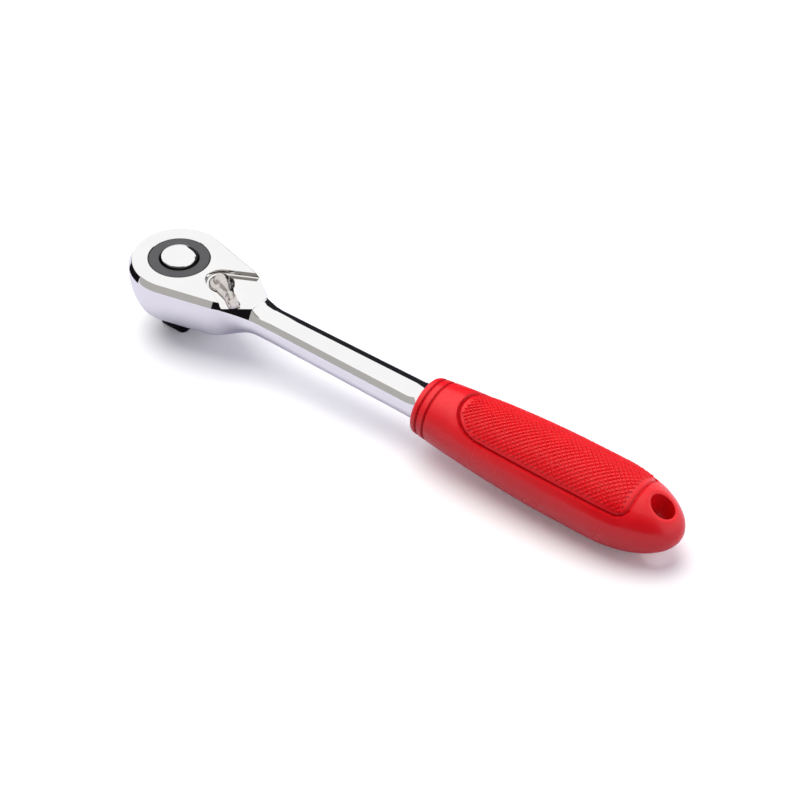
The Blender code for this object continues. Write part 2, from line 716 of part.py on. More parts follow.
def build_snap_ring():
    """The internal snap ring under the disc, with two lugs for pliers."""
    inner = RING_R - RING_WIDTH
    lug_center = inner - LUG_R / 2
    rim = arc(0, 0, RING_R, RING_GAP, 2 * math.pi - RING_GAP, 40)
    hollow = arc(0, 0, inner, 2 * math.pi - LUG_ROOT, LUG_ROOT, 36)
    ring = plate("snap_ring", [rim + hollow], RING_BOTTOM, RING_TOP)
    for side in (-1, 1):
        angle = side * LUG_TURN
        x = lug_center * math.cos(angle)
        y = lug_center * math.sin(angle)
        edge = arc(x, y, LUG_R, 0, 2 * math.pi, SMALL_STEPS)[:-1]
        lug = plate(f"lug_{side}", [edge], RING_BOTTOM, RING_TOP, CUTTERS)
        eye = rod(f"eye_{side}", LUG_HOLE_R, RING_BOTTOM - PAST / 2, RING_TOP + PAST / 2)
        eye.location = (x, y, 0)
        join(ring, lug)
        cut(ring, eye)
    return finish(ring, (0.2, 0.2, 0.21), 0.4, 1.0)


def o_ring(name, major, minor, height):
    """A rubber ring on the Z axis."""
    bpy.ops.mesh.primitive_torus_add(
        major_segments=30, minor_segments=6,
        major_radius=major, minor_radius=minor, location=(0, 0, height))
    ring = bpy.context.object
    for collection in list(ring.users_collection):
        collection.objects.unlink(ring)
    PARTS.objects.link(ring)
    ring.name = name
    return finish(ring, (0.02, 0.02, 0.02), 0.7, 0.0)


def build_drag_ring():
    """The O-ring round the boss, which keeps dirt out and gives the drive its drag."""
    return o_ring("drag_ring", BOSS_R + RUN - DRAG_WIRE_R - SEAT / 2, DRAG_WIRE_R, (HEAD_TOP + ROOF_Z) / 2)


def build_pawl():
    """The rocking pawl on the lever's stem. The arm on the +Y side is in mesh."""
    arm = []
    for step in range(-1, 2 * PAWL_TEETH):
        angle = (PAWL_FIRST_TOOTH + step / 2) * TOOTH_PITCH
        radius = GEAR_R + MESH_GAP - (TOOTH_DEPTH if step % 2 == 0 else 0.0)
        arm.append((radius * math.cos(angle), radius * math.sin(angle)))
    back_r = GEAR_R + MESH_GAP + PAWL_BACK
    arm.append((back_r * math.cos(angle), back_r * math.sin(angle)))
    arm = [swung(x - LEVER_X, y, -PAWL_ROCK) for x, y in arm]
    relief_r = GEAR_R + MESH_GAP + TOOTH_DEPTH
    relief_end = (PAWL_FIRST_TOOTH - 1) * TOOTH_PITCH
    front = [(x - LEVER_X, y) for x, y in arc(0, 0, relief_r, -relief_end, relief_end, 8)]
    rear = arc(0, 0, PAWL_HUB_R, PAWL_HUB_TURN, -PAWL_HUB_TURN, 14)
    other_arm = [(x, -y) for x, y in reversed(arm)]
    rim = front + arm + rear + other_arm
    pawl = plate("pawl", [rim, pawl_window()], PAWL_BOTTOM, PAWL_TOP)
    pawl.location.x = LEVER_X
    pawl.rotation_euler.z = PAWL_ROCK
    return finish(pawl, (0.3, 0.3, 0.31), 0.35, 1.0)


def swung(x, y, angle):
    """A point turned about the origin."""
    return (x * math.cos(angle) - y * math.sin(angle), x * math.sin(angle) + y * math.cos(angle))


def pawl_window():
    """The pawl's bore, widened in front for the plunger, which is furthest in at mid-swing."""
    bore = arc(0, 0, STEM_R + RUN, -PAWL_BORE_TURN, PAWL_BORE_TURN, 20)
    swing = LEVER_SWING + PAWL_ROCK
    reach = swing * WINDOW_SHARE
    wall = []
    wall_steps = 8
    for i in range(wall_steps + 1):
        angle = reach * (1 - 2 * i / wall_steps)
        depth = PLUNGER_TIP + PLUNGER_FIT + (SEAT / 2) * (angle / swing) ** 2
        wall.append((-depth * math.cos(angle), depth * math.sin(angle)))
    return bore + wall


def build_lever():
    """Domed hub, waisted arm and paddle, on a stem that carries the pawl and the detent."""
    axis = pivot("lever_axis", LEVER_X, -LEVER_SWING)
    seal_half = SEAL_WIRE_R + SEAT
    seal_r = STEM_R + RUN - 2 * SEAL_WIRE_R - SEAT
    dome_steps = 6
    rise = HUB_HEIGHT * DOME_SHARE
    profile = []
    for i in range(dome_steps + 1):
        angle = math.pi / 2 * i / dome_steps
        profile.append((HUB_R * math.sin(angle), LEVER_BASE + HUB_HEIGHT - rise * (1 - math.cos(angle))))
    profile += [
        (HUB_R, LEVER_BASE), (STEM_R, LEVER_BASE), (STEM_R, SEAL_Z + seal_half),
        (seal_r, SEAL_Z + seal_half), (seal_r, SEAL_Z - seal_half), (STEM_R, SEAL_Z - seal_half),
        (STEM_R, STEM_BOTTOM), (0, STEM_BOTTOM),
    ]
    lever = turned("reverse_lever", profile)
    arm = lever_arm()
    hole = rod("plunger_hole", PLUNGER_R + PLUNGER_FIT, -STEM_R - PAST / 2, DETENT_DEPTH)
    hole.rotation_euler.y = math.pi / 2
    hole.location.z = PAWL_MID
    join(lever, arm)
    cut(lever, hole)
    finish(lever, (0.62, 0.6, 0.57), 0.28, 1.0)

    seal = o_ring("lever_o_ring", STEM_R + RUN - SEAL_WIRE_R - SEAT / 2, SEAL_WIRE_R, SEAL_Z)
    plunger = build_plunger()
    spring = build_detent_spring()
    for piece in (lever, arm, hole, seal, plunger, spring):
        piece.parent = axis
    return lever


def lever_arm():
    """The lever's arm: high at the hub, waisted, then a paddle with a lifted tip."""
    crown_steps = 6
    rings = []
    for x, half, height in LEVER_ARM:
        ring = [(x, -half, LEVER_BASE), (x, half, LEVER_BASE)]
        for i in range(crown_steps + 1):
            angle = math.pi * i / crown_steps
            rise = height * (ARM_SIDE + (1 - ARM_SIDE) * math.sin(angle))
            ring.append((x, half * math.cos(angle), LEVER_BASE + rise))
        rings.append(ring)
    return loft("lever_arm", rings, CUTTERS)


def build_plunger():
    """The round-nosed plunger that presses one arm of the pawl into the gear."""
    nose_steps = 4
    profile = []
    for i in range(nose_steps + 1):
        angle = math.pi / 2 * i / nose_steps
        profile.append((PLUNGER_R * math.sin(angle), PLUNGER_TIP - PLUNGER_R * (1 - math.cos(angle))))
    profile += [(PLUNGER_R, PLUNGER_TIP - PLUNGER_LENGTH), (0, PLUNGER_TIP - PLUNGER_LENGTH)]
    plunger = turned("detent_plunger", profile, steps=SMALL_STEPS)
    plunger.rotation_euler.y = -math.pi / 2
    plunger.location.z = PAWL_MID
    return finish(plunger, (0.6, 0.6, 0.62), 0.25, 1.0)


def build_detent_spring():
    """The spring behind the plunger."""
    far = PLUNGER_TIP - PLUNGER_LENGTH - SEAT
    spring = coil("detent_spring", DETENT_R, DETENT_WIRE, DETENT_TURNS, -DETENT_DEPTH + SEAT, far)
    spring.rotation_euler.y = -math.pi / 2
    spring.location.z = PAWL_MID
    return finish(spring, (0.5, 0.5, 0.52), 0.3, 1.0)


build_forging()
build_grip()
build_drive()
build_drag_ring()
build_cover_disc()
build_snap_ring()
build_button()
build_button_spring()
build_ball()
build_pawl()
build_lever()
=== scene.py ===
# %% [markdown]
# # A reversible ratchet handle with a half-inch square drive
# The imported model already has the right sizes and joints. This lesson dresses it: fine chrome
# surfaces over the forging, a moulded red grip with its diamond knurl, a cast lever, and a
# procedural material for every piece of steel, plastic and rubber.
#
# The first step loads the imported model.

# %% Load the imported model
import math

import bmesh
import bpy
import numpy as np
from mathutils import Matrix, Vector


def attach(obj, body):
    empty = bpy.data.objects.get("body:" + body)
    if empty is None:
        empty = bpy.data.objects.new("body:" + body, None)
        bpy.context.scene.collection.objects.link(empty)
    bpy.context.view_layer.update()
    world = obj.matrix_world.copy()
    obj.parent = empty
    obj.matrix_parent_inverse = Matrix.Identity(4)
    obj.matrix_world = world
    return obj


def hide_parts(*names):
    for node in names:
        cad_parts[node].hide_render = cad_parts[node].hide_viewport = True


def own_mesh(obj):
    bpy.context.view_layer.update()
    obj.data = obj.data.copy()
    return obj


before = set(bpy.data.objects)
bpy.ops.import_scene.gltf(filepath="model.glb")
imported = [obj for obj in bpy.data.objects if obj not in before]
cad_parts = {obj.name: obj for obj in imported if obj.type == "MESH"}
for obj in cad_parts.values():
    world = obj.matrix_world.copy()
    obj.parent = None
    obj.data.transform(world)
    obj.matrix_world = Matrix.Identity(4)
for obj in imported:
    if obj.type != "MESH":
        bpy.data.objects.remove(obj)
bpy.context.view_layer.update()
scene = bpy.context.scene

# %% [markdown]
# ## Camera
# The photograph looks down at about 42 degrees, from the near side of the grip towards the head.
# The place comes from a fit of the head's ring, the shaft and the grip, so the axes of the camera
# are written as the three columns of its matrix: right, up and back.

# %% Camera
camera_data = bpy.data.cameras.new("camera")
camera_data.lens = 99.0
camera_data.sensor_width = 36.0
camera = bpy.data.objects.new("camera", camera_data)
scene.collection.objects.link(camera)
right = Vector((0.80541, 0.59171, 0.03448))
up = Vector((-0.42073, 0.52976, 0.73644))
back = Vector((0.41749, -0.60764, 0.67563))
eye = Vector((0.45184, -0.50085, 0.57532))
axes = Matrix((right, up, back)).transposed().to_4x4()
camera.matrix_world = Matrix.Translation(eye) @ axes
scene.camera = camera
scene.view_settings.view_transform = "Standard"
print("camera at", [round(value, 3) for value in camera.location])

# %% [markdown]
# ## Materials
# Colours are written as the hex codes one reads off a screen, so one function turns them into the
# linear values that the shader wants. A second small function adds a node, with its settings and
# with values or links for its sockets. Every pattern uses Object coordinates, which are metres
# here, so a noise scale of `1 / size` gives features of that size.

# %% Functions for materials
def srgb(code):
    """The linear colour of a hex code."""
    parts = [int(code[i:i + 2], 16) / 255 for i in (1, 3, 5)]
    return (*[p / 12.92 if p <= 0.04045 else ((p + 0.055) / 1.055) ** 2.4 for p in parts], 1.0)


def add(tree, kind, sockets=None, **settings):
    """Add a node, with its settings and with values or links for its input sockets."""
    node = tree.nodes.new(kind)
    for name, value in settings.items():
        setattr(node, name, value)
    for key, value in (sockets or {}).items():
        if isinstance(value, bpy.types.NodeSocket):
            tree.links.new(value, node.inputs[key])
        else:
            node.inputs[key].default_value = value
    return node


def new_material(name, color, roughness, metallic):
    """A node material, its tree, its shader and the coordinates for its patterns."""
    made = bpy.data.materials.new(name)
    made.use_nodes = True
    tree = made.node_tree
    shader = tree.nodes["Principled BSDF"]
    shader.inputs["Base Color"].default_value = srgb(color)
    shader.inputs["Roughness"].default_value = roughness
    shader.inputs["Metallic"].default_value = metallic
    print("material:", name)
    return made, tree, shader, add(tree, "ShaderNodeTexCoord").outputs["Object"]


def noise(tree, place, size, detail):
    """Noise with features of a given size in metres."""
    node = add(tree, "ShaderNodeTexNoise", {"Vector": place, "Scale": 1 / size, "Detail": detail})
    return node.outputs["Fac"]


def roughen(tree, shader, place, size, low, high):
    """Noise of a given feature size varies the roughness between two values."""
    factor = noise(tree, place, size, 3.0)
    spread = add(tree, "ShaderNodeMapRange", {
        "Value": factor, "From Min": 0.25, "From Max": 0.75, "To Min": low, "To Max": high}, clamp=False)
    tree.links.new(spread.outputs["Result"], shader.inputs["Roughness"])
    return factor


def mix_colors(tree, factor, first, second):
    """Two colours mixed by a factor. Each is a hex code or a link."""
    ends = [srgb(end) if isinstance(end, str) else end for end in (first, second)]
    node = add(tree, "ShaderNodeMix", {"Factor": factor, "A": ends[0], "B": ends[1]}, data_type="RGBA")
    return node.outputs["Result"]


def paint(tree, shader, factor, first, second):
    """Two colours mixed by a factor become the base colour."""
    tree.links.new(mix_colors(tree, factor, first, second), shader.inputs["Base Color"])


def link_bump(tree, shader, height, strength, distance):
    """A height tilts the surface, as relief of a given depth would."""
    bump = add(tree, "ShaderNodeBump", {"Strength": strength, "Distance": distance, "Height": height})
    tree.links.new(bump.outputs["Normal"], shader.inputs["Normal"])


print("material functions ready")

# %% [markdown]
# Chrome plate on a polished forging: nearly a mirror, with a haze that changes slowly from place to
# place and a faint waviness left by the polishing belt.

# %% Chrome plate
chrome, tree, shader, place = new_material("chrome_plate", "#F7F6F6", 0.06, 1.0)
haze = roughen(tree, shader, place, 0.012, 0.03, 0.07)
paint(tree, shader, haze, "#F2F1F2", "#FBFAF9")
link_bump(tree, shader, noise(tree, place, 0.006, 1.0), 0.05, 0.0002)

# %% [markdown]
# Moulded red plastic: one colour all through, a little streaky where it flowed into the mould, with
# the fine matt grain of an eroded mould surface, about 0.2 mm across. Its grooves get painted shade:
# an occlusion node deepens the red and weakens the gloss in them, beyond the shade that the light
# makes. The knurl is right without that: its object index of 1 switches the painted shade off.

# %% Grip plastic
GROOVE_REACH = 0.0018
plastic, tree, shader, place = new_material("grip_plastic", "#EC101D", 0.25, 0.0)
flow = roughen(tree, shader, place, 0.009, 0.2, 0.3)
groove_occlusion = add(tree, "ShaderNodeAmbientOcclusion", {"Distance": GROOVE_REACH}, samples=8, only_local=True)
unshaded_share = add(tree, "ShaderNodeMapRange", {"Value": groove_occlusion.outputs["AO"], "From Min": 0.60, "From Max": 0.98})
index = add(tree, "ShaderNodeObjectInfo").outputs["Object Index"]
free = add(tree, "ShaderNodeMath", {0: unshaded_share.outputs["Result"], 1: index}, operation="MAXIMUM").outputs["Value"]
# Painted shade: where the occlusion is strong, the base colour goes to the darker red and the gloss drops.
paint(tree, shader, free, "#AC0610", mix_colors(tree, flow, "#E50C18", "#F21522"))
gloss = add(tree, "ShaderNodeMath", {0: free, 1: 0.5}, operation="MULTIPLY")
tree.links.new(gloss.outputs["Value"], shader.inputs["Specular IOR Level"])
link_bump(tree, shader, noise(tree, place, 0.0002, 2.0), 0.08, 0.00005)

# %% [markdown]
# The gear and square drive are turned and milled steel with a black oxide finish. The square is
# painted darker than the boss, as painted shade: the colour changes with the height. The steel shows
# fine rings from turning, so the bump follows the distance from the drive axis.

# %% Black oxide steel
TURNING_FEED = 0.00022
oxide, tree, shader, place = new_material("black_oxide_steel", "#4B4844", 0.42, 0.85)
stain = roughen(tree, shader, place, 0.004, 0.34, 0.5)
# Painted shade: by height, the colour goes from near black on the square to grey on the boss.
height = add(tree, "ShaderNodeSeparateXYZ", {0: place}).outputs["Z"]
above = add(tree, "ShaderNodeMapRange", {"Value": height, "From Min": 0.0120, "From Max": 0.0150})
paint(tree, shader, above.outputs["Result"], "#17161B", mix_colors(tree, stain, "#535256", "#686769"))
axis = add(tree, "ShaderNodeVectorMath", {0: place, 1: (1.0, 1.0, 0.0)}, operation="MULTIPLY")
radius = add(tree, "ShaderNodeVectorMath", {0: axis.outputs["Vector"]}, operation="LENGTH").outputs["Value"]
phase = add(tree, "ShaderNodeMath", {0: radius, 1: 2 * math.pi / TURNING_FEED}, operation="MULTIPLY")
turning = add(tree, "ShaderNodeMath", {0: phase.outputs["Value"]}, operation="SINE")
link_bump(tree, shader, turning.outputs["Value"], 0.08, 0.00003)

# %% [markdown]
# The lever is a small casting with a satin nickel finish: softer reflections than chrome, a warm
# grey, and a grain from tumbling.

# %% Satin nickel
nickel, tree, shader, place = new_material("satin_nickel", "#D3CDCA", 0.13, 1.0)
tumble = roughen(tree, shader, place, 0.0025, 0.1, 0.17)
paint(tree, shader, tumble, "#C4BEBB", "#E2DCD9")
link_bump(tree, shader, noise(tree, place, 0.0004, 2.0), 0.1, 0.00004)

# %% [markdown]
# The hidden steels and the rubber are seen from below or with the head taken apart. Spring wire is
# drawn and slightly blue, the ball is ground bright, and the O-rings are matt nitrile rubber.

# %% Spring steel, ground steel and rubber
spring_steel, tree, shader, place = new_material("spring_steel", "#7C7F86", 0.35, 1.0)
drawn = roughen(tree, shader, place, 0.0012, 0.28, 0.45)
paint(tree, shader, drawn, "#6C7078", "#8B8D93")

bearing, tree, shader, place = new_material("bearing_steel", "#C4C5C9", 0.14, 1.0)
ground = roughen(tree, shader, place, 0.0006, 0.1, 0.2)
paint(tree, shader, ground, "#B9BABF", "#CFCFD2")

rubber, tree, shader, place = new_material("seal_rubber", "#161616", 0.75, 0.0)
bloom = roughen(tree, shader, place, 0.0015, 0.65, 0.85)
paint(tree, shader, bloom, "#111111", "#1E1E1F")

# %% [markdown]
# ## Fine meshes
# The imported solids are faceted. The visible ones are drawn again here from the same curves, with
# many more points. `skin` lays a surface over rings of points, as a shipwright lays planks over
# frames, and `carve` cuts it with other solids, as a mill would.

# %% Functions for meshes
MERGE = 1e-7


def show(name, mesh):
    """An object for a mesh, linked to the scene."""
    piece = bpy.data.objects.new(name, mesh)
    scene.collection.objects.link(piece)
    return piece


def skin(name, rings, first_cap=True):
    """A closed surface over rings that all have the same number of points."""
    count = len(rings[0])
    faces = []
    for row in range(len(rings) - 1):
        for i in range(count):
            a = row * count + i
            b = row * count + (i + 1) % count
            faces.append((a, b, b + count, a + count))
    total = len(rings) * count
    faces.append(tuple(range(total - count, total)))
    if first_cap:
        faces.append(tuple(range(count)))
    mesh = bpy.data.meshes.new(name)
    mesh.from_pydata([tuple(point) for ring in rings for point in ring], [], faces)
    work = bmesh.new()
    work.from_mesh(mesh)
    bmesh.ops.remove_doubles(work, verts=work.verts, dist=MERGE)
    bmesh.ops.dissolve_degenerate(work, edges=work.edges, dist=MERGE)
    bmesh.ops.recalc_face_normals(work, faces=work.faces)
    work.to_mesh(mesh)
    work.free()
    return show(name, mesh)


def turned(name, profile, steps=96, center=(0.0, 0.0, 0.0)):
    """A profile of (radius, height) points from the axis back to the axis, turned about Z."""
    rings = []
    for radius, height in profile:
        angles = np.linspace(0, 2 * math.pi, steps, endpoint=False)
        rings.append(np.column_stack((
            center[0] + radius * np.cos(angles), center[1] + radius * np.sin(angles),
            np.full(steps, center[2] + height))))
    return skin(name, rings)


def evaluated(piece):
    """Put a piece's modifiers into its mesh."""
    bpy.context.view_layer.update()
    solid = piece.evaluated_get(bpy.context.evaluated_depsgraph_get())
    mesh = bpy.data.meshes.new_from_object(solid)
    piece.modifiers.clear()
    piece.data = mesh


def carve(piece, cutters, operation="DIFFERENCE"):
    """Cut a piece by other solids, or join them to it, and remove them."""
    for cutter in cutters:
        change = piece.modifiers.new(cutter.name, "BOOLEAN")
        change.object = cutter
        change.operation = operation
        change.solver = "EXACT"
    evaluated(piece)
    for cutter in cutters:
        bpy.data.objects.remove(cutter, do_unlink=True)


def finish(piece, material, body, node, sharp=30.0):
    """Shade a piece smooth between its sharp edges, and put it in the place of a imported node."""
    piece.data.materials.clear()
    piece.data.materials.append(material)
    piece.data.shade_smooth()
    piece.data.set_sharp_from_angle(angle=math.radians(sharp))
    flats = piece.modifiers.new("flats", "WEIGHTED_NORMAL")
    flats.keep_sharp = True
    evaluated(piece)
    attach(piece, body)
    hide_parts(node)
    print(piece.name, len(piece.data.polygons), "faces")


print("mesh functions ready")

# %% [markdown]
# ## The forging
# Head, neck and shaft are one drop forging, ground, polished and plated. Across the head its side is
# a flat top, a chamfer and a bowl; along the shaft it is a plain round bar. Between them, one shape
# turns into the other, so both are written as the same number of points and blended.

# %% Sections of the forging
HEAD_TOP = 0.0325
HEAD_BOTTOM = 0.0130
SHOULDER_Z = 0.0295
AXIS_Z = 0.0232
FLOOR_Z = 0.0303
HEAD_R = 0.01989
TOP_R = 0.0184
FOOT_R = 0.0165
TAPER = math.radians(14)
TOP_ROWS = 8
CHAMFER_ROWS = 4
BOWL_ROWS = 24
RIM = TOP_ROWS
SHOULDER = TOP_ROWS + CHAMFER_ROWS
FOOT = SHOULDER + BOWL_ROWS
SHAFT_X = 0.0490
GRIP_X = 0.1200
FLARE_X = 0.1145
FLARE = 0.0011
SHAFT_R = (0.0066, 0.0073)
BLEND_X = (0.0235, 0.0450)
BOWL_POWER = 2.5
RIM_TURN = 45
SHOULDER_TURN = 25
TURN_X = 0.0274
TURN = 0.12


def taper_half(radius, x):
    """Half-width of the head's flank: tangent to a circle, and turned in near the neck."""
    return (radius - x * math.sin(TAPER)) / math.cos(TAPER) - TURN * max(0.0, x - TURN_X)


def between(first, second, count):
    """Points on a straight line, both ends included."""
    return np.linspace(first, second, count + 1)


def head_section(edge, wide, foot):
    """Points (half-width, height) down one side of the head, from mid top to mid foot."""
    down = np.linspace(0, 1, BOWL_ROWS + 1)[1:]
    bowl = np.column_stack((
        wide - (wide - foot) * down ** BOWL_POWER, SHOULDER_Z - (SHOULDER_Z - HEAD_BOTTOM) * down))
    top = between((0.0, HEAD_TOP), (edge, HEAD_TOP), TOP_ROWS)
    chamfer = between((edge, HEAD_TOP), (wide, SHOULDER_Z), CHAMFER_ROWS)[1:]
    return np.vstack((top, chamfer, bowl, [(0.0, HEAD_BOTTOM)]))


def round_section(radius):
    """The same number of points down one side of the round shaft."""
    turns = np.radians(np.concatenate((
        between(90, RIM_TURN, TOP_ROWS), between(RIM_TURN, SHOULDER_TURN, CHAMFER_ROWS)[1:],
        between(SHOULDER_TURN, -90, BOWL_ROWS + 1)[1:])))
    return np.column_stack((radius * np.cos(turns), AXIS_Z + radius * np.sin(turns)))


def shaft_radius(x):
    """The shaft swells a little, then flares out to the grip."""
    flare = max(0.0, x - FLARE_X) / (GRIP_X - FLARE_X)
    return float(np.interp(x, (SHAFT_X, GRIP_X), SHAFT_R)) + FLARE * flare ** 2


print("rows down one side:", len(round_section(SHAFT_R[0])))

# %% [markdown]
# The recess for the lever is a fan: a round apex and two straight walls that run out through the
# head's top edge. Behind that place the top is the recess floor, and its rim has a steep facet. The
# floor ends in a crease, where the top of the round shaft rises to its level. The forging stands a
# little above the floor, and the mill brings it level.

# %% Sections along the neck
LEVER_X = 0.0215
RECESS_R = 0.0063
WALL = math.radians(28)
NECK_X = 0.0402
NECK_HALF = 0.0045
TRIM = 0.0003
ROUND_OFF = 0.0055
LEAN = (taper_half(HEAD_R, 0.0) - taper_half(TOP_R, 0.0)) / (HEAD_TOP - SHOULDER_Z)


def recess_half(x):
    """Half-width of the recess between its straight walls."""
    return (RECESS_R + (x - LEVER_X) * math.sin(WALL)) / math.cos(WALL)


CLOSING = math.tan(WALL) + math.tan(TAPER) + TURN
WALL_END_X = (TOP_R / math.cos(TAPER) + TURN * TURN_X - recess_half(0.0)) / CLOSING
WALL_FOOT_X = WALL_END_X + LEAN * (HEAD_TOP - FLOOR_Z) / CLOSING


def smooth(t):
    """0 to 1 with level ends."""
    t = min(max(t, 0.0), 1.0)
    return t * t * (3 - 2 * t)


def neck_top(x, height):
    """Rows from the middle of the recess floor to the shoulder line, with the facet between."""
    widest = taper_half(TOP_R, WALL_FOOT_X) + LEAN * (HEAD_TOP - FLOOR_Z)
    low = AXIS_Z + shaft_radius(SHAFT_X) * math.sin(math.radians(SHOULDER_TURN))
    share = min((x - WALL_FOOT_X) / (NECK_X - WALL_FOOT_X), 1.0)
    edge = widest + (NECK_HALF - widest) * share
    shoulder = SHOULDER_Z + (low - SHOULDER_Z) * share
    rim = (edge - LEAN * (height - FLOOR_Z), height)
    facet = between(rim, (edge + LEAN * (FLOOR_Z - shoulder), shoulder), CHAMFER_ROWS)
    return np.vstack((between((0.0, height), rim, TOP_ROWS), facet[1:]))


def handle_section(x):
    """Points down one side of the forging behind the drive axis."""
    head = head_section(taper_half(TOP_R, x), taper_half(HEAD_R, x), taper_half(FOOT_R, x))
    shaft = round_section(shaft_radius(x))
    points = head + (shaft - head) * smooth((x - BLEND_X[0]) / (BLEND_X[1] - BLEND_X[0]))
    plain = points[SHOULDER].copy()
    upper = slice(0, SHOULDER + 1)
    if x <= WALL_FOOT_X:
        points[upper] = head[upper]
    elif x <= NECK_X:
        points[upper] = neck_top(x, FLOOR_Z + TRIM)
    else:
        neck = neck_top(NECK_X, FLOOR_Z)
        share = 1 - max(0.0, 1 - (x - NECK_X) / ROUND_OFF) ** 2
        rise = (FLOOR_Z - AXIS_Z - shaft_radius(SHAFT_X)) * (1 - smooth((x - NECK_X) / (SHAFT_X - NECK_X)))
        points[upper] = neck + (round_section(shaft_radius(x) + rise)[upper] - neck) * share
    fade = (1 - np.arange(1, BOWL_ROWS) / BOWL_ROWS) ** 2
    points[SHOULDER + 1:FOOT] += fade[:, None] * (points[SHOULDER] - plain)
    return points


print("walls run out at", round(WALL_END_X * 1000, 2), "mm")
print("walls meet the floor's rim at", round(WALL_FOOT_X * 1000, 2), "mm")

# %% [markdown]
# A forged and polished edge is never quite sharp. Each section gets a small curve at its rim, its
# shoulder and its foot, so that light runs along those edges in a thin line. Rings round the front
# of the head are the same section turned about the drive axis.

# %% Loft of the forging
ROUNDING = {RIM: 0.00035, SHOULDER: 0.0003, FOOT: 0.0006}


def rounded(points):
    """A section with a small curve in place of its rim, shoulder and foot."""
    made = []
    t = np.linspace(0, 1, 5)[:, None]
    for row, point in enumerate(points):
        if row not in ROUNDING:
            made.append(point[None, :])
            continue
        ends = []
        for other in (points[row - 1], points[row + 1]):
            reach = min(0.45, ROUNDING[row] / np.linalg.norm(other - point))
            ends.append(point + (other - point) * reach)
        made.append((1 - t) ** 2 * ends[0] + 2 * t * (1 - t) * point + t ** 2 * ends[1])
    return np.vstack(made)


def ring_at(x, section):
    """A closed ring across the handle."""
    half = np.column_stack((np.full(len(section), x), section))
    return np.vstack((half, half[-2:0:-1] * (1, -1, 1)))


def head_ring(angle):
    """A ring through the round front of the head."""
    section = rounded(head_section(TOP_R, HEAD_R, FOOT_R))
    out, height = section[:, 0], section[:, 1]
    half = np.column_stack((out * math.cos(angle), out * math.sin(angle), height))
    return np.vstack((half, half[-2:0:-1] * (1, -1, 1)))


EDGE_STEP = 0.0001
tangent = math.pi / 2 - TAPER
rings = [head_ring(angle) for angle in np.linspace(math.pi, tangent, 60)]
stations = np.concatenate((
    np.linspace(HEAD_R * math.cos(tangent), TURN_X - EDGE_STEP, 26)[1:],
    np.linspace(TURN_X, WALL_FOOT_X, 6), np.linspace(WALL_FOOT_X + TRIM, NECK_X, 24),
    np.linspace(NECK_X, SHAFT_X, 40)[1:], np.linspace(SHAFT_X, FLARE_X, 24)[1:],
    np.linspace(FLARE_X, GRIP_X, 20)[1:]))
rings += [ring_at(x, rounded(handle_section(x))) for x in stations]
SHAFT_END_R = shaft_radius(GRIP_X)
TANG_R = 0.0060
for x, radius in ((0.1224, SHAFT_END_R), (0.1248, TANG_R), (0.2025, TANG_R), (0.2040, 0.75 * TANG_R)):
    rings.append(ring_at(x, rounded(round_section(radius))))
forging = skin("forged_body", rings, first_cap=False)
print(forging.name, len(forging.data.polygons), "faces before milling")

# %% [markdown]
# The bores are cut as they are on the real forging: a stepped bore from below for the gear, the
# cover disc and the snap ring, a pocket for the pawl, the fan recess and the lever's bearing. The
# recess and the bore break their top edges with a narrow chamfer, which shows as a bright line, and
# the round nose of the milling cutter leaves a small curve between the recess floor and its walls.

# %% Milled bores and recess
PAST = 0.004
BREAK = 0.00015
ROOF_Z = 0.0275
BOSS_R = 0.0120
RUN = 0.00025
CUTTER_NOSE = 0.0006
GEAR_ROOM_R = 0.01365
GEAR_ROOM_Z = 0.0177
DISC_R = 0.01485
RING_R = 0.01565
RING_Z = (0.0144, 0.0162)
POCKET_R = 0.0068
POCKET_TURN = 0.58
POCKET_HALF = 0.0121
POCKET_X = 0.0147
POCKET_Z = (0.0179, 0.0270)
BEARING_R = 0.00375
BEARING_Z = 0.0159


def recess_ring(height, grow):
    """The outline of the recess at one height."""
    turns = np.linspace(math.pi / 2 + WALL, 1.5 * math.pi - WALL, 33)
    apex = np.column_stack((LEVER_X + (RECESS_R + grow) * np.cos(turns), (RECESS_R + grow) * np.sin(turns)))
    far = NECK_X + PAST
    half = recess_half(far) + grow / math.cos(WALL)
    outline = np.vstack((apex, [(far, -half), (far, half)]))
    return np.column_stack((outline, np.full(len(outline), height)))


def pocket_ring(height):
    """The outline of the pawl's pocket."""
    turns = np.linspace(-POCKET_TURN, POCKET_TURN, 25)
    back_wall = np.column_stack((LEVER_X + POCKET_R * np.cos(turns), POCKET_R * np.sin(turns)))
    near_side = [(0.0, -POCKET_HALF), (POCKET_X, -POCKET_HALF)]
    far_side = [(POCKET_X, POCKET_HALF), (0.0, POCKET_HALF)]
    outline = np.vstack((near_side, back_wall, far_side))
    return np.column_stack((outline, np.full(len(outline), height)))


cavity = turned("cavity", [
    (0, HEAD_TOP + PAST), (BOSS_R + RUN + BREAK + PAST, HEAD_TOP + PAST), (BOSS_R + RUN + BREAK, HEAD_TOP),
    (BOSS_R + RUN, HEAD_TOP - BREAK), (BOSS_R + RUN, ROOF_Z), (GEAR_ROOM_R, ROOF_Z),
    (GEAR_ROOM_R, GEAR_ROOM_Z), (DISC_R, GEAR_ROOM_Z), (DISC_R, RING_Z[1]), (RING_R, RING_Z[1]),
    (RING_R, RING_Z[0]), (DISC_R, RING_Z[0]), (DISC_R, HEAD_BOTTOM - PAST), (0, HEAD_BOTTOM - PAST)], steps=144)
turns = np.linspace(0, math.pi / 2, 8)
floor_rings = [
    recess_ring(FLOOR_Z + CUTTER_NOSE * (1 - math.cos(a)), CUTTER_NOSE * (math.sin(a) - 1)) for a in turns]
recess = skin("recess", floor_rings + [
    recess_ring(HEAD_TOP - BREAK, 0.0), recess_ring(HEAD_TOP, BREAK),
    recess_ring(HEAD_TOP + PAST, BREAK + PAST)])
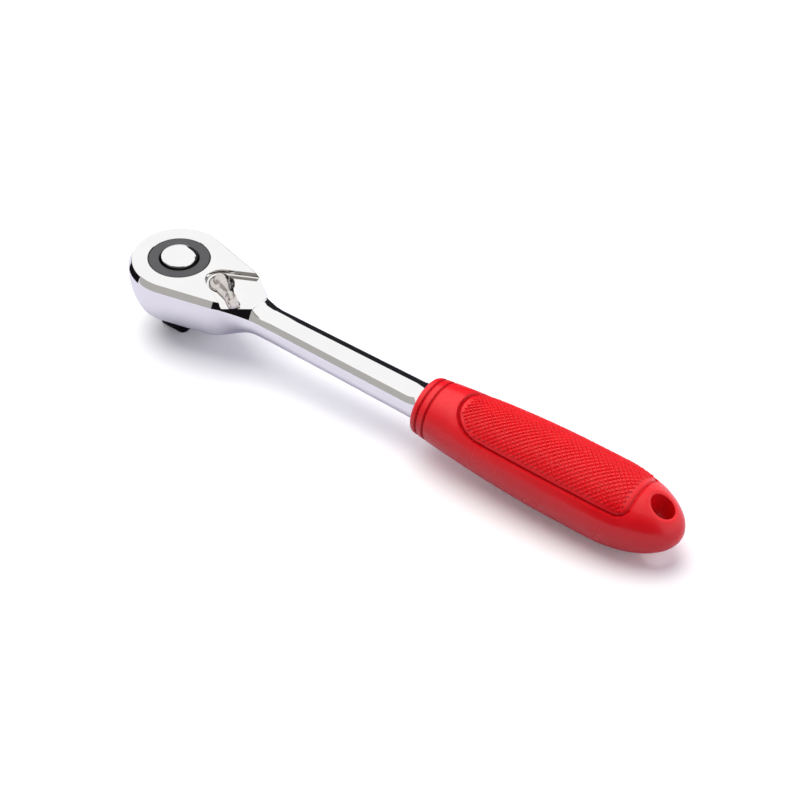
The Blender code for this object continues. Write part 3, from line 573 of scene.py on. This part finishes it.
pocket = skin("pocket", [pocket_ring(height) for height in POCKET_Z])
bearing_hole = turned("bearing_hole", [
    (0, HEAD_TOP), (BEARING_R, HEAD_TOP), (BEARING_R, BEARING_Z), (0, BEARING_Z)], 64, (LEVER_X, 0.0, 0.0))
carve(forging, [cavity, pocket, recess, bearing_hole])
finish(forging, chrome, "handle", "body_forging", sharp=24.0)

# %% [markdown]
# ## The grip
# One moulding: a collar with two grooves, a swelling waist and belly, and a rounded end with a hole
# to hang it by. On its top lies a panel with a groove round it. The underside is plain, because the
# grip's lower outline is smooth in the photograph.

# %% Curves of the grip
GRIP_LENGTH = 0.1100
GRIP_R = 0.0157
COLLAR_R = 0.0113
NOSE = 0.0310
WIDE = 1.03
HIGH = 0.97
HOLE_X = 0.2210
HOLE_R = 0.0046
GROOVES = (0.0030, 0.0064)
GROOVE_DEPTH = 0.0006
GROOVE_HALF = 0.0008
FRONT_ROUND = 0.0012
SWELL = 0.0660
SWELL_POWER = 0.9


def grip_radius(x):
    """Radius of the grip's section, x from its front face."""
    swell = np.clip(x / SWELL, 0, 1)
    body = COLLAR_R + (GRIP_R - COLLAR_R) * np.sin(math.pi / 2 * swell) ** SWELL_POWER
    nose = np.clip((x - (GRIP_LENGTH - NOSE)) / NOSE, 0, 1)
    radius = body * np.sqrt(1 - nose ** 2)
    for groove in GROOVES:
        across = np.clip((x - groove) / GROOVE_HALF, -1, 1)
        radius = radius - GROOVE_DEPTH / 2 * (1 + np.cos(math.pi * across))
    front = np.clip(1 - x / FRONT_ROUND, 0, 1)
    return radius - FRONT_ROUND * (1 - np.sqrt(1 - front ** 2))


places = (0.0, 0.01, 0.03, 0.07, 0.1)
print("grip radius in mm:", [round(float(grip_radius(x)) * 1000, 2) for x in places])

# %% [markdown]
# The panel is drawn on the grip's unrolled skin: x along the handle, and s, the way round from the
# top. Its outline is a rounded box, large corners at the front and small ones at the rear. The
# distance from that outline decides how deep the skin lies: it sinks gently to a lip, drops steeply
# into a groove, and rises in a slope to the level on which the knurl stands.

# %% The panel's outline and depth
PANEL_FRONT = 0.1360
PANEL_REAR = 0.2133
PANEL_HALF = 0.0161
FRONT_CORNER = 0.0145
REAR_CORNER = 0.0055
UNROLL_R = 0.0150
KNURL_HEIGHT = 0.0006
# Distance inside the outline, and height above the plain grip
DEPTH_AT = ((0.0, -0.0002), (0.0003, -0.0008), (0.0007, -0.0012), (0.0017, -KNURL_HEIGHT))
LIP_REACH = 0.004


def panel_inside(x, s):
    """Distance inside the panel's outline, negative outside it."""
    middle = (PANEL_FRONT + PANEL_REAR) / 2
    corner = np.where(x < middle, FRONT_CORNER, REAR_CORNER)
    along = np.abs(x - middle) - (PANEL_REAR - PANEL_FRONT) / 2 + corner
    across = np.abs(s) - PANEL_HALF + corner
    outside = np.hypot(np.maximum(along, 0), np.maximum(across, 0))
    return corner - outside - np.minimum(np.maximum(along, across), 0)


def panel_depth(inside):
    """Height of the skin above the plain grip: it sinks to the lip, then follows the relief."""
    nearing = np.clip(1 + inside / LIP_REACH, 0, 1)
    lip = DEPTH_AT[0][1] * nearing ** 2 * (3 - 2 * nearing)
    return np.where(inside < 0, lip, np.interp(inside, [d for d, z in DEPTH_AT], [z for d, z in DEPTH_AT]))


print("panel", round((PANEL_REAR - PANEL_FRONT) * 1000, 1), "mm long")

# %% [markdown]
# The skin is a fine grid. Where a line of the panel's relief runs between grid points, the nearest
# points are moved onto it, because otherwise the groove would have a saw-tooth edge.

# %% Skin of the grip
SIDES = 320
SNAP = 0.00015
NOSE_X = GRIP_LENGTH - NOSE
NOSE_TURN = 1.55
HOLE_RIM = 0.0007
HOLE_RIM_WIDTH = 0.0014
PLAY = 0.0003


def snap(x, s):
    """Move grid points sideways onto the nearest line of the panel's relief."""
    step = 1e-6
    for level, _ in DEPTH_AT:
        inside = panel_inside(x, s)
        slope_x = (panel_inside(x + step, s) - panel_inside(x - step, s)) / (2 * step)
        slope_s = (panel_inside(x, s + step) - panel_inside(x, s - step)) / (2 * step)
        near = np.abs(inside - level) < SNAP
        x = np.where(near, x + (level - inside) * slope_x, x)
        s = np.where(near, s + (level - inside) * slope_s, s)
    return x, s


def grip_points(x, angle, sink):
    """Points on the grip, by place along it, angle from the top and depth below the plain form."""
    radius = grip_radius(x - GRIP_X) + sink
    return np.stack((x, radius * WIDE * np.sin(angle), AXIS_Z + radius * HIGH * np.cos(angle)), axis=-1)


along = np.concatenate((
    FRONT_ROUND * (1 - np.cos(np.linspace(0, math.pi / 2, 7))), np.linspace(0.0014, 0.0024, 9),
    np.linspace(0.0025, 0.0039, 15), np.linspace(0.0042, 0.0054, 4), np.linspace(0.0055, 0.0073, 19),
    np.linspace(0.0076, NOSE_X, 230), NOSE_X + NOSE * np.sin(np.linspace(0, NOSE_TURN, 84)[1:])))
turns = np.linspace(-math.pi, math.pi, SIDES, endpoint=False)
x, angle = np.meshgrid(GRIP_X + along, turns, indexing="ij")
x, s = snap(x, angle * UNROLL_R)
sink = panel_depth(panel_inside(x, s))
angle = s / UNROLL_R
plain = grip_points(x, angle, sink)
from_hole = np.hypot(plain[..., 0] - HOLE_X, plain[..., 1]) - HOLE_R
rim = HOLE_RIM * np.clip(1 - from_hole / HOLE_RIM_WIDTH, 0, 1) ** 2
grip = skin("moulded_grip", grip_points(x, angle, sink - rim))
hang_hole = turned(
    "hang_hole", [(0, 0.05), (HOLE_R, 0.05), (HOLE_R, 0.0), (0, 0.0)], 96, (HOLE_X, 0.0, 0.0))
bore = turned("bore", [
    (0, 0.2043), (0.75 * TANG_R + PLAY, 0.2043), (TANG_R + PLAY, 0.2028), (TANG_R + PLAY, 0.1248),
    (SHAFT_END_R + PLAY, 0.1227), (SHAFT_END_R + PLAY, GRIP_X - PAST), (0, GRIP_X - PAST)])
bore.data.transform(Matrix.Translation((0.0, 0.0, AXIS_Z)) @ Matrix.Rotation(math.pi / 2, 4, "Y"))
carve(grip, [hang_hole, bore])
finish(grip, plastic, "handle", "grip", sharp=38.0)

# %% [markdown]
# ## The knurl
# The panel is covered with small truncated pyramids between two sets of grooves at 45 degrees. They
# repeat hundreds of times, so Geometry Nodes sets them out: a flat lattice of points, one pyramid on
# each point that lies well inside the outline, and then every corner is lifted onto the grip. The
# curved sheet that carries the lattice holds two attributes: `flat`, its place on the unrolled
# skin, and `inside`, the distance from the outline.

# %% Sheet that carries the knurl
SUNK = 0.00004
END_GAP = 0.0005
along = np.linspace(PANEL_FRONT + END_GAP, PANEL_REAR - END_GAP, 150)
across = np.linspace(-PANEL_HALF, PANEL_HALF, 66)
x, s = np.meshgrid(along, across, indexing="ij")
points = grip_points(x, s / UNROLL_R, -KNURL_HEIGHT - SUNK).reshape(-1, 3)
columns = len(across)
faces = []
for row in range(len(along) - 1):
    for i in range(columns - 1):
        a = row * columns + i
        faces.append((a, a + columns, a + columns + 1, a + 1))
mesh = bpy.data.meshes.new("moulded_knurl")
mesh.from_pydata([tuple(point) for point in points], [], faces)
mesh.shade_smooth()
flat = np.stack((x - (PANEL_FRONT + PANEL_REAR) / 2, s, np.zeros_like(x)), axis=-1)
mesh.attributes.new("flat", "FLOAT_VECTOR", "POINT").data.foreach_set("vector", flat.ravel())
mesh.attributes.new("inside", "FLOAT", "POINT").data.foreach_set("value", panel_inside(x, s).ravel())
sheet = show("moulded_knurl", mesh)
middle = mesh.polygons[len(mesh.polygons) // 2]
print("sheet normal in the middle:", [round(value, 2) for value in middle.normal])

# %% [markdown]
# The tree has the pitch, the height, the two shares of the flat tip and the margin as named inputs.
# Each stud starts as a square block, and its upper corners are then drawn in by those shares.

# %% Knurl tree: lattice and stud
COUNT = 64
FILL = 0.95
knurl = bpy.data.node_groups.new("diamond_knurl", "GeometryNodeTree")
knurl.is_modifier = True
inputs = {}
for name, kind in (
        ("Geometry", "NodeSocketGeometry"), ("Pitch", "NodeSocketFloat"), ("Height", "NodeSocketFloat"),
        ("Tip Along", "NodeSocketFloat"), ("Tip Across", "NodeSocketFloat"), ("Margin", "NodeSocketFloat"),
        ("Material", "NodeSocketMaterial")):
    inputs[name] = knurl.interface.new_socket(name, in_out="INPUT", socket_type=kind).identifier
knurl.interface.new_socket("Geometry", in_out="OUTPUT", socket_type="NodeSocketGeometry")
given = add(knurl, "NodeGroupInput").outputs
size = add(knurl, "ShaderNodeMath", {0: given["Pitch"], 1: COUNT - 1.0}, operation="MULTIPLY").outputs[0]
eighth = (0, 0, math.pi / 4)
lattice = add(knurl, "GeometryNodeMeshGrid", {
    "Size X": size, "Size Y": size, "Vertices X": COUNT, "Vertices Y": COUNT})
diagonal = add(knurl, "GeometryNodeTransform", {"Geometry": lattice.outputs["Mesh"], "Rotation": eighth})
reach = add(knurl, "ShaderNodeMath", {0: given["Pitch"], 1: FILL / math.sqrt(2)}, operation="MULTIPLY")
block = add(knurl, "GeometryNodeMeshCone", {
    "Vertices": 4, "Radius Top": reach.outputs[0], "Radius Bottom": reach.outputs[0], "Depth": given["Height"]})
squared = add(knurl, "GeometryNodeTransform", {"Geometry": block.outputs["Mesh"], "Rotation": eighth})
position = add(knurl, "GeometryNodeInputPosition").outputs[0]
rise = add(knurl, "ShaderNodeSeparateXYZ", {0: position}).outputs["Z"]
is_tip = add(knurl, "FunctionNodeCompare", {0: rise, 1: 1e-6}, operation="GREATER_THAN").outputs[0]
shares = add(knurl, "ShaderNodeCombineXYZ", {"X": given["Tip Along"], "Y": given["Tip Across"], "Z": 1.0})
drawn_in = add(knurl, "ShaderNodeVectorMath", {0: position, 1: shares.outputs[0]}, operation="MULTIPLY")
stud = add(knurl, "GeometryNodeSetPosition", {
    "Geometry": squared.outputs[0], "Selection": is_tip, "Position": drawn_in.outputs[0]})
print("inputs of the knurl:", list(inputs))

# %% [markdown]
# A stud goes on every point of the lattice that lies far enough inside the outline. Then each corner
# is looked up on the sheet by its flat place, and lifted along the sheet's normal.

# %% Knurl tree: setting out
flat = add(knurl, "GeometryNodeInputNamedAttribute", {"Name": "flat"}, data_type="FLOAT_VECTOR").outputs[0]
inside = add(knurl, "GeometryNodeInputNamedAttribute", {"Name": "inside"}, data_type="FLOAT").outputs[0]
normal = add(knurl, "GeometryNodeInputNormal").outputs[0]


def on_sheet(value, kind):
    """The sheet's value at the flat place of each point."""
    sample = add(knurl, "GeometryNodeSampleUVSurface", {
        "Mesh": given["Geometry"], "Value": value, "Source UV Map": flat, "Sample UV": position}, data_type=kind)
    return sample.outputs[0]


depth_in = on_sheet(inside, "FLOAT")
chosen = add(knurl, "FunctionNodeCompare", {0: depth_in, 1: given["Margin"]}, operation="GREATER_THAN")
placed = add(knurl, "GeometryNodeInstanceOnPoints", {
    "Points": diagonal.outputs[0], "Selection": chosen.outputs[0], "Instance": stud.outputs[0],
    "Rotation": eighth})
real = add(knurl, "GeometryNodeRealizeInstances", {"Geometry": placed.outputs[0]})
outward = on_sheet(normal, "FLOAT_VECTOR")
lift = add(knurl, "ShaderNodeVectorMath", {0: outward, "Scale": rise}, operation="SCALE")
foot = on_sheet(position, "FLOAT_VECTOR")
target = add(knurl, "ShaderNodeVectorMath", {0: foot, 1: lift.outputs[0]})
lifted = add(knurl, "GeometryNodeSetPosition", {"Geometry": real.outputs[0], "Position": target.outputs[0]})
painted = add(knurl, "GeometryNodeSetMaterial", {"Geometry": lifted.outputs[0], "Material": given["Material"]})
add(knurl, "NodeGroupOutput", {"Geometry": painted.outputs[0]})
print("knurl tree has", len(knurl.nodes), "nodes")

# %% [markdown]
# In the photograph the studs stand 1.5 mm apart both ways, but the grooves that run on towards the
# far side of the head are much stronger than those across them. So each stud is long along its row
# and narrow across it. A modifier's inputs are set by their identifiers, not by their names.

# %% Knurl on the panel
nodes = sheet.modifiers.new("knurl", "NODES")
nodes.node_group = knurl
for name, value in (
        ("Pitch", 0.0015), ("Height", KNURL_HEIGHT + SUNK / 2), ("Tip Along", 0.7), ("Tip Across", 0.35),
        ("Margin", 0.0026), ("Material", plastic)):
    nodes[inputs[name]] = value
evaluated(sheet)
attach(sheet, "handle")
# Index 1 switches off the painted groove shade of the grip plastic.
sheet.pass_index = 1
print(sheet.name, len(sheet.data.polygons), "faces")

# %% [markdown]
# ## The lever
# A small casting: a round base, a dome on it, an arm whose ridge runs down to a narrow waist, and a
# paddle with a dished face for the thumb. Base and dome are turned, the arm is laid over rings, and
# all are joined, so that the creases between them stay crisp. It is drawn along its own axis and
# then turned to where it rests. Its stem carries the seal and the plunger inside the head.

# %% Lever
LEVER_BASE = 0.0306
HUB_R = 0.0051
DOME_FOOT_R = 0.0032
STEM_R = 0.0035
STEM_FOOT = 0.0162
SEAL_R = 0.00261
SEAL_Z = (0.02778, 0.02922)
REST = math.radians(-31)
# Distance from the axis, half-width of the base, half-width and height of the crest, and depth of
# its dish, where a value below 0 is the rise of a crown
ARM = np.array((
    (0.0000, 0.0034, 0.0017, 0.0036, -0.00045), (0.0020, 0.0034, 0.0017, 0.0034, -0.0004),
    (0.0036, 0.0033, 0.0013, 0.0032, -0.0003), (0.0054, 0.0029, 0.0008, 0.0029, -0.00015),
    (0.0078, 0.0023, 0.0002, 0.0025, 0.0000), (0.0090, 0.0021, 0.0010, 0.0026, 0.0002),
    (0.0104, 0.0021, 0.0015, 0.0026, 0.0012), (0.0113, 0.0022, 0.0017, 0.0025, 0.0015),
    (0.0124, 0.0022, 0.0017, 0.0022, 0.0005), (0.0150, 0.0022, 0.0016, 0.0014, 0.0001)))
LEVER_END = 0.0160
EDGE = 0.0007


def arm_ring(u):
    """A ring across the arm: flat base, low edges, sloping flanks and the crest with its dish."""
    base, crest, height, dish = [float(np.interp(u, ARM[:, 0], ARM[:, i])) for i in (1, 2, 3, 4)]
    tip = max(0.0, (u - ARM[-1, 0]) / (LEVER_END - ARM[-1, 0]))
    base *= math.sqrt(1 - tip ** 2)
    crest = min(crest, 0.85 * base)
    height = EDGE + (height - EDGE) * (1 - 0.6 * tip ** 2)
    t = np.linspace(0, 1, 9)
    flank = np.column_stack((crest + (base - crest) * t, height - (height - EDGE) * t ** 0.6))
    t = np.linspace(-1, 1, 17)
    face = np.column_stack((crest * t, height - dish * (1 - t ** 2)))
    section = np.vstack((
        [(-base, 0.0)], flank[::-1] * (-1, 1), face[1:-1], flank, [(base, 0.0)])) + (0.0, LEVER_BASE)
    return np.column_stack((np.full(len(section), u), section))


tip = ARM[-1, 0] + (LEVER_END - ARM[-1, 0]) * np.sin(np.linspace(0.1, 1.54, 12))
reach = np.concatenate((np.linspace(0.0, ARM[-1, 0], 76), tip))
turns = np.linspace(0, math.pi / 2, 20)
dome = [(DOME_FOOT_R * math.sin(a), LEVER_BASE + 0.0013 + 0.0028 * math.cos(a)) for a in turns]
skirt = [(radius, LEVER_BASE + height) for radius, height in (
    (DOME_FOOT_R + 0.00005, 0.0012), (DOME_FOOT_R + 0.0002, 0.0011), (HUB_R - 0.0008, 0.0009),
    (HUB_R - 0.0004, 0.0007), (HUB_R - 0.0001, 0.0004), (HUB_R, 0.0001), (HUB_R, 0.0), (STEM_R, 0.0))]
stem = [
    (STEM_R, SEAL_Z[1]), (SEAL_R, SEAL_Z[1]), (SEAL_R, SEAL_Z[0]), (STEM_R, SEAL_Z[0]),
    (STEM_R, 0.0165), (STEM_R - 0.0003, STEM_FOOT), (0, STEM_FOOT)]
lever = turned("cast_lever", dome + skirt + stem)
carve(lever, [skin("arm", [arm_ring(u) for u in reach])], "UNION")
plunger_hole = turned("plunger_hole", [(0, 0.0), (0.0011, 0.0), (0.0011, -0.0078), (0, -0.0078)], 32)
plunger_hole.data.transform(Matrix.Translation((0.0023, 0.0, 0.02245)) @ Matrix.Rotation(math.pi / 2, 4, "Y"))
carve(lever, [plunger_hole])
lever.data.transform(Matrix.Translation((LEVER_X, 0.0, 0.0)) @ Matrix.Rotation(REST, 4, "Z"))
finish(lever, nickel, "lever", "reverse_lever", sharp=40.0)

# %% [markdown]
# ## Button and ball
# The release button is turned from bar: a shallow dome with a softened rim, and a pin whose waist
# lets the ball in. The ball is ground, so it is turned here too, with many steps.

# %% Button and ball
BUTTON_R = 0.0071
CROWN = 0.0018
RIM_Z = HEAD_TOP + 0.0010
DOME_R = (BUTTON_R ** 2 + CROWN ** 2) / (2 * CROWN)
turns = np.linspace(0, math.asin((BUTTON_R - 0.0003) / DOME_R), 24)
dome = [(DOME_R * math.sin(a), RIM_Z + CROWN - DOME_R * (1 - math.cos(a))) for a in turns]
dome += [(BUTTON_R - 0.0001, RIM_Z - 0.00005), (BUTTON_R, RIM_Z - 0.0003)]
SKIRT_Z = 0.0290
PIN_R = 0.00235
WAIST_R = PIN_R - 0.0009
PIN_FOOT = 0.0044
button = turned("domed_button", dome + [
    (BUTTON_R, SKIRT_Z), (PIN_R, SKIRT_Z), (PIN_R, 0.0111), (WAIST_R, 0.0102), (WAIST_R, 0.0090),
    (PIN_R, 0.0065), (PIN_R, PIN_FOOT), (0, PIN_FOOT)])
finish(button, chrome, "button", "release_button", sharp=40.0)

BALL_R = 0.0022
BALL_X = -0.00485
BALL_Z = 0.0062
turns = np.linspace(0, math.pi, 33)
ball = turned("ground_ball", [
    (BALL_R * math.sin(a), BALL_R * math.cos(a)) for a in turns], 64, (BALL_X, 0.0, BALL_Z))
finish(ball, bearing, "ball", "detent_ball", sharp=60.0)

# %% [markdown]
# ## Gear and square drive
# One piece of steel: the boss is turned, the 72 teeth are hobbed, and the square is milled with
# rounded corners and a rounded tip, so that a socket slides on. It is built in that order here, and
# bored last for the button, its spring and the ball.

# %% Gear and square drive
GEAR_R = 0.0134
TEETH = 72
TOOTH = 0.0006
SQUARE_HALF = 0.00635
CORNER = 0.0020
TIP_ROUND = 0.0012


def rounded_square(height, inset):
    """A ring round the square at one height."""
    center = (SQUARE_HALF - inset - CORNER) * math.sqrt(2)
    points = []
    for quarter in range(4):
        side = quarter * math.pi / 2 + math.pi / 4
        for turn in np.linspace(0, math.pi / 2, 7) + quarter * math.pi / 2:
            points.append((
                center * math.cos(side) + CORNER * math.cos(turn),
                center * math.sin(side) + CORNER * math.sin(turn), height))
    return points


def toothed(height):
    """A ring round the gear: a tip and a root for each tooth."""
    turns = np.arange(2 * TEETH) * math.pi / TEETH
    radius = np.where(np.arange(2 * TEETH) % 2 == 0, GEAR_R, GEAR_R - TOOTH)
    return np.column_stack((radius * np.cos(turns), radius * np.sin(turns), np.full(2 * TEETH, height)))


drive = turned("broached_drive", [
    (0, HEAD_TOP), (BOSS_R - 0.0002, HEAD_TOP), (BOSS_R, HEAD_TOP - 0.0002), (BOSS_R, 0.03075),
    (0.01105, 0.03075), (0.01105, 0.02925), (BOSS_R, 0.02925), (BOSS_R, 0.0269), (0.0122, 0.0269),
    (0.0122, 0.0180), (0.0095, 0.0180), (0.0095, 0.0128), (0.0092, 0.0125), (0, 0.0125)], 144)
turns = np.linspace(0, math.pi / 2, 7)
tip_rings = [rounded_square(TIP_ROUND * (1 - math.cos(a)), TIP_ROUND * (1 - math.sin(a))) for a in turns]
square = skin("square", tip_rings + [rounded_square(0.0149, 0.0)])
carve(drive, [skin("teeth", [toothed(0.0177), toothed(0.0272)]), square], "UNION")
button_bore = turned("button_bore", [
    (0, HEAD_TOP + PAST), (0.0081 + PAST, HEAD_TOP + PAST), (0.0081, HEAD_TOP), (0.0079, HEAD_TOP - 0.0002),
    (0.0079, 0.0262), (0.0043, 0.0262), (0.0043, 0.0140), (0.00265, 0.0140), (0.00265, 0.0016), (0, 0.0016)])
ball_hole = turned("ball_hole", [(0, 0.0), (0.00235, 0.0), (0.00235, -0.0127), (0, -0.0127)], 48)
ball_hole.data.transform(Matrix.Translation((0.0, 0.0, BALL_Z)) @ Matrix.Rotation(math.pi / 2, 4, "Y"))
carve(drive, [button_bore, ball_hole])
finish(drive, oxide, "drive", "drive_gear", sharp=33.0)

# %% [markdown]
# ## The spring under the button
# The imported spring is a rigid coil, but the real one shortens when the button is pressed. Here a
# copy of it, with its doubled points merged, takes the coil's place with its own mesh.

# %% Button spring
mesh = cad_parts["button_spring"].data.copy()
work = bmesh.new()
work.from_mesh(mesh)
bmesh.ops.remove_doubles(work, verts=work.verts, dist=MERGE)
work.to_mesh(mesh)
work.free()
coil = show("wound_button_spring", mesh)
finish(coil, spring_steel, "drive", "button_spring", sharp=60.0)
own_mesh(coil)

# %% [markdown]
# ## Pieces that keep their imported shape
# Disc, snap ring, pawl, plunger, its spring and the O-rings are right as they are. They get the
# material of the real piece.

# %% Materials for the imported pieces
KEPT = {
    "cover_disc": oxide, "snap_ring": spring_steel, "pawl": bearing,
    "detent_spring": spring_steel, "detent_plunger": bearing,
    "lever_o_ring": rubber, "drag_ring": rubber}
for name, material in KEPT.items():
    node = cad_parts[name]
    node.data.materials.clear()
    node.data.materials.append(material)
print("kept:", sorted(KEPT))

# %% [markdown]
# ## Floor and light
# The tool rests on the rear edge of its drive tip and on the belly of its grip, so the floor is a
# plane through those two places. It is white paper on a light table. The camera sees it plain white,
# with the tool's shadow in it and a little light from below. The chrome shows it as pale lavender,
# and the light that it throws back onto the tool is dimmer, as from paper that lies partly in the
# shade.

# %% Floor
TIP_X = 0.00535
SLOPE = 0.0409
REACH = 3.0
corners = [
    (x * REACH, y * REACH, (x * REACH - TIP_X) * SLOPE) for x, y in ((-1, -1), (1, -1), (1, 1), (-1, 1))]
mesh = bpy.data.meshes.new("floor")
mesh.from_pydata(corners, [], [(0, 1, 2, 3)])
floor = show("floor", mesh)
paper, tree, shader, place = new_material("floor_paper", "#FFFFFF", 0.9, 0.0)
roughen(tree, shader, place, 0.05, 0.85, 0.95)
path = add(tree, "ShaderNodeLightPath").outputs
through = add(tree, "ShaderNodeMath", {
    0: path["Is Glossy Ray"], 1: path["Is Transmission Ray"]}, operation="MAXIMUM")
mirrored = mix_colors(tree, through.outputs[0], "#AAAAAE", "#D5D3DF")
paint(tree, shader, path["Is Camera Ray"], mirrored, "#FFFFFF")
glow = add(tree, "ShaderNodeMath", {0: path["Is Camera Ray"], 1: 0.1}, operation="MULTIPLY")
tree.links.new(glow.outputs[0], shader.inputs["Emission Strength"])
shader.inputs["Emission Color"].default_value = srgb("#FFFFFF")
mesh.materials.append(paper)

# %% [markdown]
# A white tent stands round the tool. What the camera and the chrome see of it is plain white, which
# is a strength of 1. The light that it gives is a soft lavender, stronger near the horizon and weaker
# from the side of the viewer. One very large soft lamp above gives the shadow that falls towards the
# viewer, and it is left out of reflections, because the tent already shows there.

# %% World and lamps
world = bpy.data.worlds.new("tent")
scene.world = world
world.use_nodes = True
tree = world.node_tree
soft = tree.nodes["Background"]
soft.inputs["Color"].default_value = srgb("#DCDAEA")
place = add(tree, "ShaderNodeTexCoord").outputs["Generated"]
way = add(tree, "ShaderNodeSeparateXYZ", {0: place}).outputs
height = add(tree, "ShaderNodeMapRange", {
    "Value": way["Z"], "From Max": 0.6, "To Min": 2.6, "To Max": 0.7})
front = add(tree, "ShaderNodeMapRange", {
    "Value": way["Y"], "From Min": -0.8, "From Max": 0.0, "To Min": 0.2})
level = add(tree, "ShaderNodeMath", {0: height.outputs[0], 1: front.outputs[0]}, operation="MULTIPLY")
tree.links.new(level.outputs[0], soft.inputs["Strength"])
white = add(tree, "ShaderNodeBackground", {"Color": srgb("#FFFFFF"), "Strength": 1.0})
path = add(tree, "ShaderNodeLightPath").outputs
seen = add(tree, "ShaderNodeMath", {0: path["Is Camera Ray"], 1: path["Is Glossy Ray"]}, operation="MAXIMUM")
seen = add(tree, "ShaderNodeMath", {0: seen.outputs[0], 1: path["Is Transmission Ray"]}, operation="MAXIMUM")
mixed = add(tree, "ShaderNodeMixShader", {0: seen.outputs[0], 1: soft.outputs[0], 2: white.outputs[0]})
tree.links.new(mixed.outputs[0], tree.nodes["World Output"].inputs["Surface"])

key_data = bpy.data.lights.new("key", "SUN")
key_data.angle = math.radians(60)
key_data.energy = 2.4
key_data.color = srgb("#FFFFF7")[:3]
key = bpy.data.objects.new("key", key_data)
scene.collection.objects.link(key)
key.visible_glossy = False
key.rotation_euler = (0.0, math.radians(-22), math.radians(-15))

# %% [markdown]
# Chrome shows what stands round it. Studios hang black and grey cards out of the picture for that,
# and so does this scene: each card is seen only in reflections.

# %% Cards for the chrome
def card(name, color, first, second, low, high, drop=0.0):
    """A card between two places on the floor, seen only in reflections. Its first end may be lower."""
    corners = [(*first, low), (*second, low), (*second, high), (*first, high - drop)]
    mesh = bpy.data.meshes.new(name)
    mesh.from_pydata(corners, [], [(0, 1, 2, 3)])
    made, _, shader, _ = new_material(name, "#000000", 1.0, 0.0)
    shader.inputs["Specular IOR Level"].default_value = 0.0
    shader.inputs["Emission Color"].default_value = srgb(color)
    shader.inputs["Emission Strength"].default_value = 1.0
    mesh.materials.append(made)
    item = show(name, mesh)
    item.visible_camera = False
    item.visible_diffuse = False
    item.visible_transmission = False
    item.visible_shadow = False


card("far_black", "#242427", (0.003, 0.080), (0.200, 0.080), 0.0, 0.091)
card("far_low_black", "#242427", (-0.042, 0.080), (0.003, 0.080), 0.0, 0.076, 0.027)
card("far_left_black", "#242427", (-0.066, 0.080), (-0.042, 0.080), 0.0, 0.049, 0.042)
card("near_grey", "#B3B1AE", (-0.737, -0.472), (-0.036, -0.845), 0.0, 0.60)
card("viewer_black", "#161316", (-0.031, -0.602), (0.712, -0.238), 0.0, 0.36)
card("viewer_grey", "#87847F", (-0.031, -0.602), (0.712, -0.238), 0.36, 0.64)
card("left_black", "#161316", (-0.095, -0.085), (-0.095, 0.010), 0.0, 0.033)
